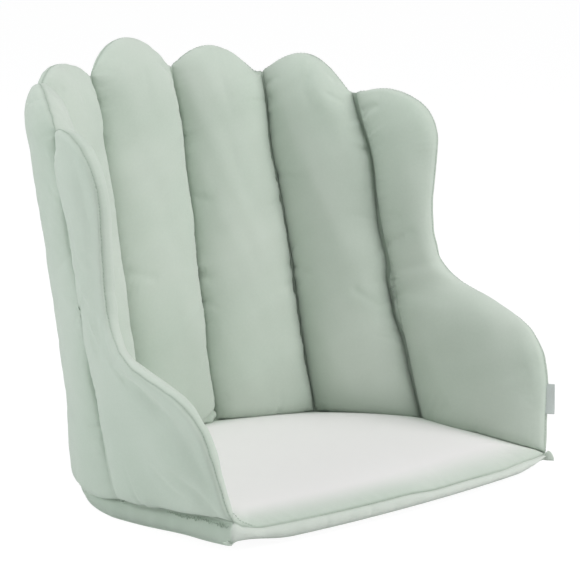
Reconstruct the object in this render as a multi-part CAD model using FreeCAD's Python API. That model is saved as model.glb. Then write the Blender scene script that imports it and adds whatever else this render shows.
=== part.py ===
"""Padded support seat for a child: a seat cushion with a channelled, scalloped back and two side wings.

Row frame, in millimetres: X to the right as seen from the open front, -Y towards that front, +Z up.
The origin lies on the underside, half way between the front corners and the rear seam.
Each cloth panel, each filling and each seam is a solid of its own, written to parts/NODE.step.
Panels are numbered from left to right: wing_left, channel_1 to channel_5, wing_right.
"""

import FreeCAD
import Part
import math
import os

# Seat plan, along the line where the walls are sewn to the seat.
SEAT_HALF_WIDTH = 180.0
SEAT_SIDE_SPREAD = 2.0
SEAT_SIDE_LENGTH = 143.0
BACK_BOW = 129.0
BACK_CENTRE_BOW = 3.0
FRONT_BOW = 16.0

# Seat cushion: how its outline stands out past the walls, how far its underside curves up towards the
# front, and the crown of its top cover.
SEAT_THICKNESS = 17.0
SEAT_OVERHANG = 4.0
BAND_BULGE = 3.5
FRONT_RISE = 6.0
FRONT_RISE_LENGTH = 100.0
CROWN_HEIGHT = 9.0
CROWN_WALL_INSET = 27.0
CROWN_FRONT_INSET = 7.0
CROWN_SPREAD = 46.0

# Walls: heights above the floor, how far the rear seams and the lobes lean back, and the wings' flare.
BACK_HEIGHT = 361.0
WALL_LEAN = 80.0
LOBE_LEAN = 3.5
WING_HEIGHT = 312.0
WING_FLARE = 28.0

# How far the filling swells a channel or a wing out of its own middle surface.
CHANNEL_FRONT_BULGE = 21.0
CHANNEL_REAR_BULGE = 18.0
WING_INNER_BULGE = 14.0
WING_OUTER_BULGE = 14.0
SHOULDER_WIDTH = 16.0
CHANNEL_CLOSE_LENGTH = 50.0
WING_CLOSE_LENGTH = 45.0

# Cloth, seams and the room that the pieces leave each other.
CLOTH = 1.2
LEAST_CAVITY = 0.3
SEAM_WIDTH = 2.0
SEAM_THICKNESS = 1.8
SEAM_GAP = 0.7
BASE_SEAM_WIDTH = 8.0
FIT_GAP = 0.3
PLY_GAP = 0.2
FILL_END_GAP = 0.8
FILL_TOP_DROP = 6.0
OVERRUN = 60.0

# Bare folded tab, sewn into the front seam of the right wing.
TAB_HEIGHT = 25.0
TAB_LENGTH = 7.5
TAB_PLY = 0.5
TAB_SPLIT = 0.3
TAB_START_HEIGHT = 46.0

# The three channel seams of the right half, from the wing to the middle: their feet as shares of the
# half width and of BACK_BOW, and their notches as shares of the half width, WALL_LEAN and BACK_HEIGHT.
SEAM_FOOT_SHARES = ((1.0, 0.0), (0.736, 0.705), (0.253, 1.0))
SEAM_NOTCH_SHARES = ((0.945, 1.0, 0.848), (0.709, 0.8, 0.903), (0.258, 0.7, 0.917))

# Height of each lobe as a share of BACK_HEIGHT: beside the wing, next to the middle, and the middle.
LOBE_HEIGHT_SHARES = (0.936, 0.958, 1.0)
LOBE_PLACE_SHARE = 0.5
LOBE_POWER = 0.5

# Front edge of a wing from the seat to its lobe: the height as a share of the wing's height, the depth
# as a share of the rear seam's at that height, the flare as a share of WING_FLARE, and the thickness
# as a share of the wing's bulge.
WING_EDGE_SHARES = (
    (0.000, 0.000, 0.036, 0.50),
    (0.025, 0.014, 0.143, 0.72),
    (0.060, 0.028, 0.230, 0.86),
    (0.103, 0.043, 0.330, 0.95),
    (0.192, 0.068, 0.571, 1.05),
    (0.263, 0.108, 0.690, 1.10),
    (0.294, 0.150, 0.740, 1.10),
    (0.328, 0.208, 0.821, 1.08),
    (0.349, 0.278, 0.870, 1.06),
    (0.368, 0.365, 0.920, 1.04),
    (0.384, 0.445, 0.950, 1.02),
    (0.400, 0.522, 0.950, 1.00),
    (0.416, 0.590, 0.830, 0.99),
    (0.433, 0.648, 0.690, 0.98),
    (0.460, 0.703, 0.520, 0.96),
    (0.500, 0.738, 0.420, 0.95),
    (0.574, 0.747, 0.357, 0.95),
    (0.662, 0.730, 0.357, 0.97),
    (0.741, 0.702, 0.429, 1.00),
    (0.816, 0.680, 0.490, 1.00),
    (0.867, 0.673, 0.560, 1.00),
    (0.912, 0.686, 0.600, 1.00),
    (0.943, 0.710, 0.590, 1.00),
    (0.967, 0.743, 0.520, 1.00),
    (0.985, 0.790, 0.420, 1.00),
    (0.996, 0.835, 0.304, 1.00),
)
WING_PEAK_DEPTH_SHARE = 0.881
WING_PEAK_FLARE_SHARE = 0.214

# Rows of a channel: the height as a share of the lower notch's, and the thickness as a share of the
# channel's bulge, on the child's side and at the rear. Above the notch, rows go up to the peak.
CHANNEL_ROW_SHARES = (
    (0.000, 0.50, 0.80),
    (0.015, 0.66, 1.00),
    (0.035, 0.78, 1.12),
    (0.070, 0.90, 1.18),
    (0.120, 1.00, 1.15),
    (0.180, 1.04, 1.04),
    (0.250, 1.05, 0.95),
    (0.420, 1.03, 0.98),
    (0.650, 1.00, 1.02),
    (0.850, 0.98, 1.08),
    (1.000, 0.98, 1.10),
)
LOBE_ROW_SHARES = (0.14, 0.30, 0.46, 0.62, 0.76, 0.87, 0.94, 0.985)

# Form of a padded cross section: a steep shoulder at each seam and a flatter crown between them.
SHOULDER_LIMIT_SHARE = 0.3
WING_SHOULDER_LIMIT_SHARE = 0.5
SHOULDER_RISE_SHARE = 0.78
SHOULDER_MIDDLE_SHARES = (0.36, 0.60)
CLOSE_POWER = 0.6

# Steps of the seat's crown: the share of CROWN_SPREAD taken in, and the share of CROWN_HEIGHT reached.
CROWN_STEP_SHARES = ((0.0, 0.0), (0.18, 0.42), (0.45, 0.78), (1.0, 1.0))
# Where the underside is half way along its rise, the share of the rise that it has made.
HALF_RISE_SHARE = 0.25

UP = FreeCAD.Vector(0, 0, 1)
RIGHTWARD = FreeCAD.Vector(1, 0, 0)
ORIGIN = FreeCAD.Vector(0, 0, 0)

FRONT_Y = -(SEAT_SIDE_LENGTH + BACK_BOW) / 2
REAR_HALF_WIDTH = SEAT_HALF_WIDTH + SEAT_SIDE_SPREAD
WALL_FOOT = SEAT_THICKNESS + FIT_GAP + CLOTH + FIT_GAP
SEAM_CLEARANCE = SEAM_WIDTH / 2 + SEAM_GAP
INWARD, OUTWARD = 1.0, -1.0
RIGHT, LEFT = 1, -1
WING_SEAM, CORNER_SEAM, MIDDLE_SEAM = range(len(SEAM_FOOT_SHARES))


def lerp(start, end, share):
    """The point or value that lies a share of the way from start to end."""
    return start + (end - start) * share


def seam_foot(number):
    """Foot of a channel seam of the right half."""
    width_share, depth_share = SEAM_FOOT_SHARES[number]
    depth = FRONT_Y + SEAT_SIDE_LENGTH + BACK_BOW * depth_share
    return FreeCAD.Vector(REAR_HALF_WIDTH * width_share, depth, SEAT_THICKNESS)


def seam_notch(number):
    """Notch between two lobes, at the top of a channel seam of the right half."""
    width_share, lean_share, height_share = SEAM_NOTCH_SHARES[number]
    depth = seam_foot(number).y + WALL_LEAN * lean_share
    return FreeCAD.Vector(REAR_HALF_WIDTH * width_share, depth, BACK_HEIGHT * height_share)


def seam_at(number, side, height):
    """Where a channel seam, or its straight course above the notch, passes a height."""
    foot, notch = seam_foot(number), seam_notch(number)
    point = lerp(foot, notch, (height - foot.z) / (notch.z - foot.z))
    return FreeCAD.Vector(point.x * side, point.y, point.z)


def lobe_end(number, side, peak, height):
    """Edge of a panel at a height: on the seam, and above the notch on the arch that rises to the peak."""
    notch_height = seam_notch(number).z
    place = seam_at(number, side, height)
    if height <= notch_height:
        return place
    left_to_rise = max(peak.z - height, 0.0) / (peak.z - notch_height)
    drawn_in = 1.0 - left_to_rise ** LOBE_POWER
    return place + (peak - seam_at(number, side, peak.z)) * drawn_in


def closing(height, top, close_length):
    """Share of the bulge that is left where a padded panel rounds off towards its top seam."""
    way = min(max(1.0 - (top - height) / close_length, 0.0), 1.0)
    return (1.0 - way * way) ** CLOSE_POWER


def section_row(left, right, bulge_shares, left_shoulder, right_shoulder, left_clear, right_clear):
    """A level row across a panel, between its two edges as seen from the child's side."""
    along = (right - left).normalize()
    return {
        "start": left + along * left_clear,
        "along": along,
        "inward": along.cross(UP),
        "length": (right - left).Length - left_clear - right_clear,
        "shares": dict(zip((INWARD, OUTWARD), bulge_shares)),
        "shoulders": (left_shoulder, right_shoulder),
    }


def padded_arcs(row, side, bulge, lift, trim):
    """Three arcs across a row, shoulder, crown and shoulder, which swell to one side of it.

    lift moves them that way off the middle surface, and trim draws in both ends."""
    span = row["length"] - trim * 2
    left_width, right_width = row["shoulders"]
    rise = bulge * SHOULDER_RISE_SHARE
    knee_share, knee_rise_share = SHOULDER_MIDDLE_SHARES

    def at(distance, swell):
        offset = row["inward"] * (side * (lift + swell))
        return row["start"] + row["along"] * (trim + distance) + offset

    left_top = at(left_width, rise)
    right_top = at(span - right_width, rise)
    left_knee = at(left_width * knee_share, rise * knee_rise_share)
    right_knee = at(span - right_width * knee_share, rise * knee_rise_share)
    middle = at((left_width + span - right_width) / 2, bulge)
    return [
        Part.Arc(at(0.0, 0.0), left_knee, left_top).toShape(),
        Part.Arc(left_top, middle, right_top).toShape(),
        Part.Arc(right_top, right_knee, at(span, 0.0)).toShape(),
    ]


def start_of(arcs):
    """First point of a run of arcs."""
    return arcs[0].Curve.value(arcs[0].FirstParameter)


def end_of(arcs):
    """Last point of a run of arcs."""
    return arcs[-1].Curve.value(arcs[-1].LastParameter)


def cover_bulge(row, side, bulge):
    """Outer bulge of a cover in a row, which always leaves a cavity inside the cloth."""
    return max(bulge * row["shares"][side], CLOTH + LEAST_CAVITY)


def cloth_cover(rows, side, bulge):
    """Cloth shell on one side of a padded panel, open towards the middle surface."""
    wires = []
    for row in rows:
        outer_bulge = cover_bulge(row, side, bulge)
        outer = padded_arcs(row, side, outer_bulge, PLY_GAP / 2, 0.0)
        inner = padded_arcs(row, side, outer_bulge - CLOTH, PLY_GAP / 2, CLOTH)
        closing_line = Part.makeLine(end_of(outer), end_of(inner))
        opening_line = Part.makeLine(start_of(inner), start_of(outer))
        wires.append(Part.Wire(outer + [closing_line] + inner[::-1] + [opening_line]))
    return Part.makeLoft(wires, True, True)


def filling(rows, front_bulge, rear_bulge, top):
    """Stuffing of a padded panel, a fit gap inside both of its covers, up to a height."""
    wires = []
    for row in rows:
        if row["start"].z > top:
            continue
        front = cover_bulge(row, INWARD, front_bulge) - CLOTH - FIT_GAP
        rear = cover_bulge(row, OUTWARD, rear_bulge) - CLOTH - FIT_GAP
        front_arcs = padded_arcs(row, INWARD, front, 0.0, CLOTH + FILL_END_GAP)
        rear_arcs = padded_arcs(row, OUTWARD, rear, 0.0, CLOTH + FILL_END_GAP)
        wires.append(Part.Wire(front_arcs + rear_arcs[::-1]))
    return Part.makeLoft(wires, True, True)


def panel_parts(rows, bulges, cover_names, top):
    """Two covers and a filling for one padded panel, by the last part of their names."""
    front_bulge, rear_bulge = bulges
    front_name, rear_name = cover_names
    return {
        front_name: cloth_cover(rows, INWARD, front_bulge),
        rear_name: cloth_cover(rows, OUTWARD, rear_bulge),
        "fill": filling(rows, front_bulge, rear_bulge, top - FILL_TOP_DROP),
    }


def channel_rows(left_seam, right_seam, lobe_share):
    """Rows of a back channel between two seams, each given as its number and its side."""
    top = BACK_HEIGHT * lobe_share
    peak = lerp(seam_at(*left_seam, top), seam_at(*right_seam, top), LOBE_PLACE_SHARE)
    peak.y += LOBE_LEAN
    low_notch = min(seam_notch(left_seam[0]).z, seam_notch(right_seam[0]).z)
    levels = []
    for height_share, front_share, rear_share in CHANNEL_ROW_SHARES:
        levels.append((lerp(WALL_FOOT, low_notch, height_share), front_share, rear_share))
    for height_share in LOBE_ROW_SHARES:
        levels.append((lerp(low_notch, top, height_share), *CHANNEL_ROW_SHARES[-1][1:]))
    rows = []
    for height, *bulge_shares in levels:
        left = lobe_end(*left_seam, peak, height)
        right = lobe_end(*right_seam, peak, height)
        kept = closing(height, top, CHANNEL_CLOSE_LENGTH)
        bulge_shares = [share * kept for share in bulge_shares]
        span = (right - left).Length - SEAM_CLEARANCE * 2
        shoulder = min(SHOULDER_WIDTH, span * SHOULDER_LIMIT_SHARE)
        rows.append(section_row(
            left, right, bulge_shares, shoulder, shoulder, SEAM_CLEARANCE, SEAM_CLEARANCE
        ))
    return rows


def wing_point(height, depth_share, flare_share):
    """Point of the right wing's edge, so far back from the front as a share of the rear seam's depth."""
    rear_depth = seam_at(WING_SEAM, RIGHT, height).y - FRONT_Y
    return FreeCAD.Vector(
        SEAT_HALF_WIDTH + WING_FLARE * flare_share, FRONT_Y + rear_depth * depth_share, height
    )


def wing_edge():
    """Points of the right wing's front edge, from the seat to its lobe."""
    points = []
    for height_share, depth_share, flare_share, _ in WING_EDGE_SHARES:
        points.append(wing_point(lerp(WALL_FOOT, WING_HEIGHT, height_share), depth_share, flare_share))
    return points


def wing_rows():
    """Rows of the right wing, from the rear seam to the front edge, shallow where that edge slopes."""
    peak = wing_point(WING_HEIGHT, WING_PEAK_DEPTH_SHARE, WING_PEAK_FLARE_SHARE)
    edge = wing_edge()
    rows = []
    for number, front in enumerate(edge):
        rear = lobe_end(WING_SEAM, RIGHT, peak, front.z)
        before = edge[max(number - 1, 0)]
        after = edge[min(number + 1, len(edge) - 1)]
        slant = (after - before).Length / (after.z - before.z)
        span = (front - rear).Length - SEAM_CLEARANCE
        front_shoulder = min(SHOULDER_WIDTH * slant, span * WING_SHOULDER_LIMIT_SHARE)
        rear_shoulder = min(SHOULDER_WIDTH, span * SHOULDER_LIMIT_SHARE)
        bulge_share = WING_EDGE_SHARES[number][-1] * closing(front.z, WING_HEIGHT, WING_CLOSE_LENGTH)
        rows.append(section_row(
            rear, front, (bulge_share, bulge_share), rear_shoulder, front_shoulder, SEAM_CLEARANCE, 0.0
        ))
    return rows


def channel_seam(number):
    """Strip of the two covers sewn to each other between two panels of the right half."""
    feet = [seam_at(index, RIGHT, WALL_FOOT) for index in (WING_SEAM, CORNER_SEAM, MIDDLE_SEAM)]
    before = ([wing_edge()[0]] + feet)[number]
    after = (feet[1:] + [seam_at(MIDDLE_SEAM, LEFT, WALL_FOOT)])[number]
    foot = feet[number]
    along = (foot - before).normalize() + (after - foot).normalize()
    along.z = 0.0
    along.normalize()
    across = along.cross(UP)
    wires = []
    for place in (foot, seam_notch(number)):
        corners = []
        for width_sign, depth_sign in ((-1, -1), (1, -1), (1, 1), (-1, 1), (-1, -1)):
            sideways = along * (SEAM_WIDTH / 2 * width_sign)
            corners.append(place + sideways + across * (SEAM_THICKNESS / 2 * depth_sign))
        wires.append(Part.makePolygon(corners))
    return Part.makeLoft(wires, True, True)


def seat_outline(wall_inset, front_inset, height):
    """Plan of the seat at a height, drawn in from the line of the walls and from the front seam."""
    side, corner, rear = [seam_foot(number) for number in (WING_SEAM, CORNER_SEAM, MIDDLE_SEAM)]
    turn = Part.Arc(side, corner, rear).toShape().Curve
    centre, radius = turn.Center, turn.Radius
    kept = (radius - wall_inset) / radius

    def drawn(point):
        return FreeCAD.Vector(
            centre.x + (point.x - centre.x) * kept, centre.y + (point.y - centre.y) * kept, height
        )

    def left(point):
        return FreeCAD.Vector(-point.x, point.y, point.z)

    side_right, corner_right, rear_right = drawn(side), drawn(corner), drawn(rear)
    front_right = FreeCAD.Vector(SEAT_HALF_WIDTH - wall_inset, FRONT_Y + front_inset, height)
    front_middle = FreeCAD.Vector(0, FRONT_Y - FRONT_BOW + front_inset, height)
    rear_middle = FreeCAD.Vector(0, rear_right.y + BACK_CENTRE_BOW, height)
    return Part.Wire([
        Part.Arc(left(front_right), front_middle, front_right).toShape(),
        Part.makeLine(front_right, side_right),
        Part.Arc(side_right, corner_right, rear_right).toShape(),
        Part.Arc(rear_right, rear_middle, left(rear_right)).toShape(),
        Part.Arc(left(rear_right), left(corner_right), left(side_right)).toShape(),
        Part.makeLine(left(side_right), left(front_right)),
    ])


def seat_slab(inset, low, high):
    """Seat outline carried from one height to another, with its side swelling out between them."""
    swollen = -SEAT_OVERHANG - BAND_BULGE + inset
    level = -SEAT_OVERHANG + inset
    wires = [
        seat_outline(level, inset, low),
        seat_outline(swollen, inset - BAND_BULGE, (low + high) / 2),
        seat_outline(level, inset, high),
    ]
    return Part.makeLoft(wires, True, False)


def seat_plate(low, thickness):
    """Flat sheet over the whole seat outline."""
    face = Part.Face(seat_outline(-SEAT_OVERHANG, 0.0, low))
    return face.extrude(UP * thickness)


def under_block(lift):
    """Block below the underside of the seat, or a set way above it: level, and rising to the front."""
    reach = REAR_HALF_WIDTH + OVERRUN
    front = FRONT_Y - FRONT_BOW
    rise_start = FreeCAD.Vector(-reach, front + FRONT_RISE_LENGTH, lift)
    rise_middle = FreeCAD.Vector(
        -reach, front + FRONT_RISE_LENGTH / 2, lift + FRONT_RISE * HALF_RISE_SHARE
    )
    rise_end = FreeCAD.Vector(-reach, front, lift + FRONT_RISE)
    rear_top = FreeCAD.Vector(-reach, -front + OVERRUN, lift)
    rear_low = FreeCAD.Vector(-reach, -front + OVERRUN, -OVERRUN)
    front_low = FreeCAD.Vector(-reach, front - OVERRUN, -OVERRUN)
    front_top = FreeCAD.Vector(-reach, front - OVERRUN, lift + FRONT_RISE)
    profile = Part.Wire([
        Part.Arc(rise_start, rise_middle, rise_end).toShape(),
        Part.makeLine(rise_end, front_top),
        Part.makeLine(front_top, front_low),
        Part.makeLine(front_low, rear_low),
        Part.makeLine(rear_low, rear_top),
        Part.makeLine(rear_top, rise_start),
    ])
    return Part.Face(profile).extrude(RIGHTWARD * (reach * 2))


def crown_dome(offset):
    """Crown of the seat, or a smaller one a set way inside it."""
    wires = []
    for spread_share, height_share in CROWN_STEP_SHARES:
        spread = CROWN_SPREAD * spread_share + offset
        height = SEAT_THICKNESS + CROWN_HEIGHT * height_share - offset
        wires.append(seat_outline(CROWN_WALL_INSET + spread, CROWN_FRONT_INSET + spread, height))
    return Part.makeLoft(wires, True, False)


def box_between(low_y, high_y, side=0):
    """Block that cuts out part of the seat: the depths between two values, on one side or on both."""
    reach = REAR_HALF_WIDTH + OVERRUN
    low_x = 0.0 if side > 0 else -reach
    high_x = 0.0 if side < 0 else reach
    corner = FreeCAD.Vector(low_x, low_y, -OVERRUN)
    return Part.makeBox(high_x - low_x, high_y - low_y, SEAT_THICKNESS + OVERRUN * 2, corner)


def seat_parts():
    """Covers, edge bands and foam of the seat cushion, and the seam that joins the walls to it."""
    band_low = CLOTH + FIT_GAP
    band_high = SEAT_THICKNESS - CLOTH - FIT_GAP
    band = seat_slab(0.0, band_low, band_high).cut(seat_slab(CLOTH, band_low, band_high))
    front_end = FRONT_Y + CLOTH
    side_end = seam_foot(0).y
    rear_end = side_end + BACK_BOW + OVERRUN
    front_start = FRONT_Y - FRONT_BOW - OVERRUN
    side_block_left = box_between(front_end + FIT_GAP, side_end, LEFT)
    side_block_right = box_between(front_end + FIT_GAP, side_end, RIGHT)
    below_pad = under_block(CLOTH + FIT_GAP)
    band = band.cut(below_pad)
    bottom_cover = seat_plate(0.0, CLOTH + FRONT_RISE).cut(under_block(0.0)).common(under_block(CLOTH))
    top_plate = seat_plate(SEAT_THICKNESS - CLOTH, CLOTH)
    top_cover = top_plate.fuse(crown_dome(0.0)).cut(crown_dome(CLOTH))
    foam = seat_slab(CLOTH + FIT_GAP, band_low, band_high).cut(below_pad)
    foam = foam.fuse(crown_dome(CLOTH + FIT_GAP))
    half_seam = BASE_SEAM_WIDTH / 2
    seam_low = SEAT_THICKNESS + FIT_GAP
    around = Part.Face(seat_outline(-half_seam, -half_seam, seam_low))
    within = Part.Face(seat_outline(half_seam, half_seam, seam_low))
    joint = around.cut(within).extrude(UP * CLOTH)
    return {
        "seat_bottom_cover": bottom_cover,
        "seat_top_cover": top_cover,
        "seat_front_band": band.common(box_between(front_start, front_end)),
        "seat_left_band": band.common(side_block_left),
        "seat_right_band": band.common(side_block_right),
        "seat_rear_band": band.common(box_between(side_end + FIT_GAP, rear_end)),
        "seat_foam": foam,
        "wall_base_seam": joint.common(box_between(FRONT_Y + half_seam, rear_end)),
    }


def side_tab():
    """Folded tab: two plies that leave the front seam of the right wing and meet in a round fold."""
    edge = wing_edge()
    half_out, half_in = TAB_SPLIT / 2 + TAB_PLY, TAB_SPLIT / 2
    wires = []
    for height in (TAB_START_HEIGHT, TAB_START_HEIGHT + TAB_HEIGHT):
        below = max((point for point in edge if point.z <= height), key=lambda point: point.z)
        above = min((point for point in edge if point.z > height), key=lambda point: point.z)
        front = lerp(below, above, (height - below.z) / (above.z - below.z))
        forward = (front - seam_at(WING_SEAM, RIGHT, height)).normalize()
        across = forward.cross(UP)
        root = front + forward * FIT_GAP
        bend = root + forward * (TAB_LENGTH - FIT_GAP - half_out)
        outer_fold = Part.Arc(bend - across * half_out, bend + forward * half_out, bend + across * half_out)
        inner_fold = Part.Arc(bend + across * half_in, bend + forward * half_in, bend - across * half_in)
        wires.append(Part.Wire([
            Part.makeLine(root - across * half_out, bend - across * half_out),
            outer_fold.toShape(),
            Part.makeLine(bend + across * half_out, root + across * half_out),
            Part.makeLine(root + across * half_out, root + across * half_in),
            Part.makeLine(root + across * half_in, bend + across * half_in),
            inner_fold.toShape(),
            Part.makeLine(bend - across * half_in, root - across * half_in),
            Part.makeLine(root - across * half_in, root - across * half_out),
        ]))
    return Part.makeLoft(wires, True, True)


def wall_parts():
    """Every padded panel of the back and of both wings, and the seams between them."""
    parts = {}
    # Each channel: the seams at its left and its right, its lobe, and its mirrored twin.
    channels = (
        (3, ((MIDDLE_SEAM, LEFT), (MIDDLE_SEAM, RIGHT)), 2, None),
        (4, ((MIDDLE_SEAM, RIGHT), (CORNER_SEAM, RIGHT)), 1, 2),
        (5, ((CORNER_SEAM, RIGHT), (WING_SEAM, RIGHT)), 0, 1),
    )
    for number, seams, lobe, twin in channels:
        lobe_share = LOBE_HEIGHT_SHARES[lobe]
        rows = channel_rows(*seams, lobe_share)
        top = BACK_HEIGHT * lobe_share
        bulges = (CHANNEL_FRONT_BULGE, CHANNEL_REAR_BULGE)
        made = panel_parts(rows, bulges, ("front_cover", "rear_cover"), top)
        for kind, shape in made.items():
            parts["channel_{}_{}".format(number, kind)] = shape
            if twin:
                parts["channel_{}_{}".format(twin, kind)] = shape.mirror(ORIGIN, RIGHTWARD)
    bulges = (WING_INNER_BULGE, WING_OUTER_BULGE)
    made = panel_parts(wing_rows(), bulges, ("inner_cover", "outer_cover"), WING_HEIGHT)
    for kind, shape in made.items():
        parts["wing_right_" + kind] = shape
        parts["wing_left_" + kind] = shape.mirror(ORIGIN, RIGHTWARD)
    for number in range(len(SEAM_FOOT_SHARES)):
        strip = channel_seam(number)
        parts["channel_seam_{}".format(len(SEAM_FOOT_SHARES) * 2 - number)] = strip
        parts["channel_seam_{}".format(number + 1)] = strip.mirror(ORIGIN, RIGHTWARD)
    return parts


def build():
    """Make every piece and write it as a STEP file under its own name."""
    os.makedirs("parts", exist_ok=True)
    parts = seat_parts()
    parts.update(wall_parts())
    parts["side_tab"] = side_tab()
    for name, shape in sorted(parts.items()):
        shape.exportStep("parts/" + name + ".step")
        box = shape.BoundBox
        print(
            "{:28s} valid {} solids {} volume {:9.0f} mm3  x {:7.1f} {:7.1f}  y {:7.1f} {:7.1f}"
            "  z {:6.1f} {:6.1f}".format(
                name, shape.isValid(), len(shape.Solids), shape.Volume,
                box.XMin, box.XMax, box.YMin, box.YMax, box.ZMin, box.ZMax
            )
        )


build()
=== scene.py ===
"""Looks of the padded support seat: five stuffed back channels, two wings, the seat cushion and their seams.

Metres, in the row frame: X to the right as seen from the open front, -Y towards that front, +Z up.
A grid of points has its rows from the foot up, or from the front to the rear of the seat.
"""

import math

import bpy
import numpy as np
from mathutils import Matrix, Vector


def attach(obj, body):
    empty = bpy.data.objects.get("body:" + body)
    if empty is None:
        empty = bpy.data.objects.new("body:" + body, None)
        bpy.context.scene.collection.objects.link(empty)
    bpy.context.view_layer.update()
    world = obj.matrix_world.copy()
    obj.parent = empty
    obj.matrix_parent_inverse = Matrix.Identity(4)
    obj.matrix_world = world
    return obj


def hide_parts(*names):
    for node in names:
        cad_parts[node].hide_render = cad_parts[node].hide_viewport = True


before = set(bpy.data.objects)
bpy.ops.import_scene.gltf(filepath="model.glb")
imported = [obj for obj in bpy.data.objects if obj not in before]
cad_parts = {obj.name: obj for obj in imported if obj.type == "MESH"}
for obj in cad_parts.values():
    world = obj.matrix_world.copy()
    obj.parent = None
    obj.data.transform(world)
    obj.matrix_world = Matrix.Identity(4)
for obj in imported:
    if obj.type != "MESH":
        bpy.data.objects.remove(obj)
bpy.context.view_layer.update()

BODY = "root"
MM = 0.001
UP = np.array([0.0, 0.0, 1.0])
SIDE_NAMES = {-1: "left", 1: "right"}

# ---- Shares, lines and grids ----


def smooth(value):
    """Ease a share from 0 to 1 with level ends."""
    value = np.clip(value, 0.0, 1.0)
    return value * value * (3.0 - 2.0 * value)


def bell(distance, width):
    """1 where the distance is nothing, falling off over a width."""
    return np.exp(-((distance / width) ** 2))


def unit(vectors):
    """Vectors scaled to length 1."""
    return vectors / np.maximum(np.linalg.norm(vectors, axis=-1, keepdims=True), 1e-12)


def ripple(seed, places, pitch, count=5):
    """Soft irregular wave along a row of places, between about -1 and 1, the same in each run."""
    draw = np.random.default_rng(seed)
    wave = np.zeros_like(np.asarray(places, float))
    for order in range(1, count + 1):
        length = pitch * draw.uniform(0.7, 1.5) * 2.2 / order ** 0.7
        wave = wave + np.sin(2 * np.pi * (places / length + draw.uniform())) / order
    return wave / 1.6


def pillow(share, power=2.6, fullness=0.52):
    """Thickness of a stuffed section between two seams, as a share of its greatest."""
    return np.maximum(1.0 - np.abs(2.0 * share - 1.0) ** power, 0.0) ** fullness


def closing(distance, length, fullness=0.58):
    """Share of the thickness that is left near a closed end."""
    way = np.clip(1.0 - distance / length, 0.0, 1.0)
    return (1.0 - way * way) ** fullness


def spaced(count, crowding=0.6):
    """Places from 0 to 1, closer together at both ends."""
    even = np.linspace(0.0, 1.0, count)
    return even * (1.0 - crowding) + (0.5 - 0.5 * np.cos(np.pi * even)) * crowding


def ways_of(line):
    """How far along a line of points each of them lies."""
    return np.concatenate([[0.0], np.cumsum(np.linalg.norm(np.diff(line, axis=0), axis=1))])


def at_ways(wanted, ways, vectors):
    """Vectors that are known at some ways along a line, at the wanted ways."""
    return np.stack([np.interp(wanted, ways, vectors[:, axis]) for axis in range(3)], axis=-1)


def resampled(line, count, crowding=0.0):
    """Points spaced along a line of points by its length."""
    ways = ways_of(line)
    return at_ways(spaced(count, crowding) * ways[-1], ways, line)


def softened(line, passes):
    """Line of points with its corners eased and its ends kept."""
    line = line.copy()
    for _ in range(passes):
        line[1:-1] = line[1:-1] * 0.5 + (line[:-2] + line[2:]) * 0.25
    return line


def nearest(points, line):
    """For each point, its distance to a line of points and the way along the line to there."""
    flat, ways = points.reshape(-1, 3), ways_of(line)
    distances, places = [], []
    for start in range(0, len(flat), 500):
        some = flat[start:start + 500]
        closest = ((line ** 2).sum(1)[None] - 2 * some @ line.T).argmin(1)
        distances.append(np.linalg.norm(some - line[closest], axis=1))
        places.append(ways[closest])
    return tuple(np.concatenate(found).reshape(points.shape[:-1]) for found in (distances, places))


def patched(left, right, low, high, across, up):
    """Grid of points between four lines, with its columns and rows at shares of the way across and up."""
    a, b = across[None, :, None], up[:, None, None]
    grid = (1 - a) * left[:, None] + a * right[:, None] + (1 - b) * low[None] + b * high[None]
    grid -= (1 - a) * (1 - b) * low[0] + a * (1 - b) * low[-1]
    grid -= (1 - a) * b * high[0] + a * b * high[-1]
    return grid


def relaxed(grid, passes):
    """Grid whose inner points settle evenly between their neighbours, its rim held."""
    grid = grid.copy()
    for _ in range(passes):
        grid[1:-1, 1:-1] = (grid[:-2, 1:-1] + grid[2:, 1:-1] + grid[1:-1, :-2] + grid[1:-1, 2:]) / 4
    return grid


def finer(grid):
    """Grid with a point put between each pair of neighbours, on the curve through them."""
    for axis in (0, 1):
        grid = np.swapaxes(grid, 0, axis)
        wide = np.concatenate([2 * grid[:1] - grid[1:2], grid, 2 * grid[-1:] - grid[-2:-1]])
        made = np.empty((2 * len(grid) - 1,) + grid.shape[1:])
        made[::2] = grid
        made[1::2] = (9 * (wide[1:-2] + wide[2:-1]) - wide[:-3] - wide[3:]) / 16
        grid = np.swapaxes(made, 0, axis)
    return grid


def normals_of(grid, passes=0):
    """Unit normals of a grid of points, on the child's side, evened out over some passes."""
    normals = unit(np.cross(np.gradient(grid, axis=1), np.gradient(grid, axis=0)))
    for _ in range(passes):
        wide = np.pad(normals, ((1, 1), (1, 1), (0, 0)), mode="edge")
        normals = unit(wide[:-2, 1:-1] + wide[2:, 1:-1] + wide[1:-1, :-2] + wide[1:-1, 2:])
    return normals


def rim_of(grid):
    """Outer points of a grid in order: first row to the right, right side, last row back, left side."""
    return np.concatenate([grid[0, :-1], grid[:-1, -1], grid[-1, :0:-1], grid[:0:-1, 0]])


# ---- Meshes ----


def vectors_in(items, name):
    """One vector of each of a mesh's items."""
    values = np.zeros(len(items) * 3)
    items.foreach_get(name, values)
    return values.reshape(-1, 3)


def in_scene(name, data):
    """New object that the scene shows."""
    thing = bpy.data.objects.new(name, data)
    bpy.context.scene.collection.objects.link(thing)
    return thing


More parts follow.
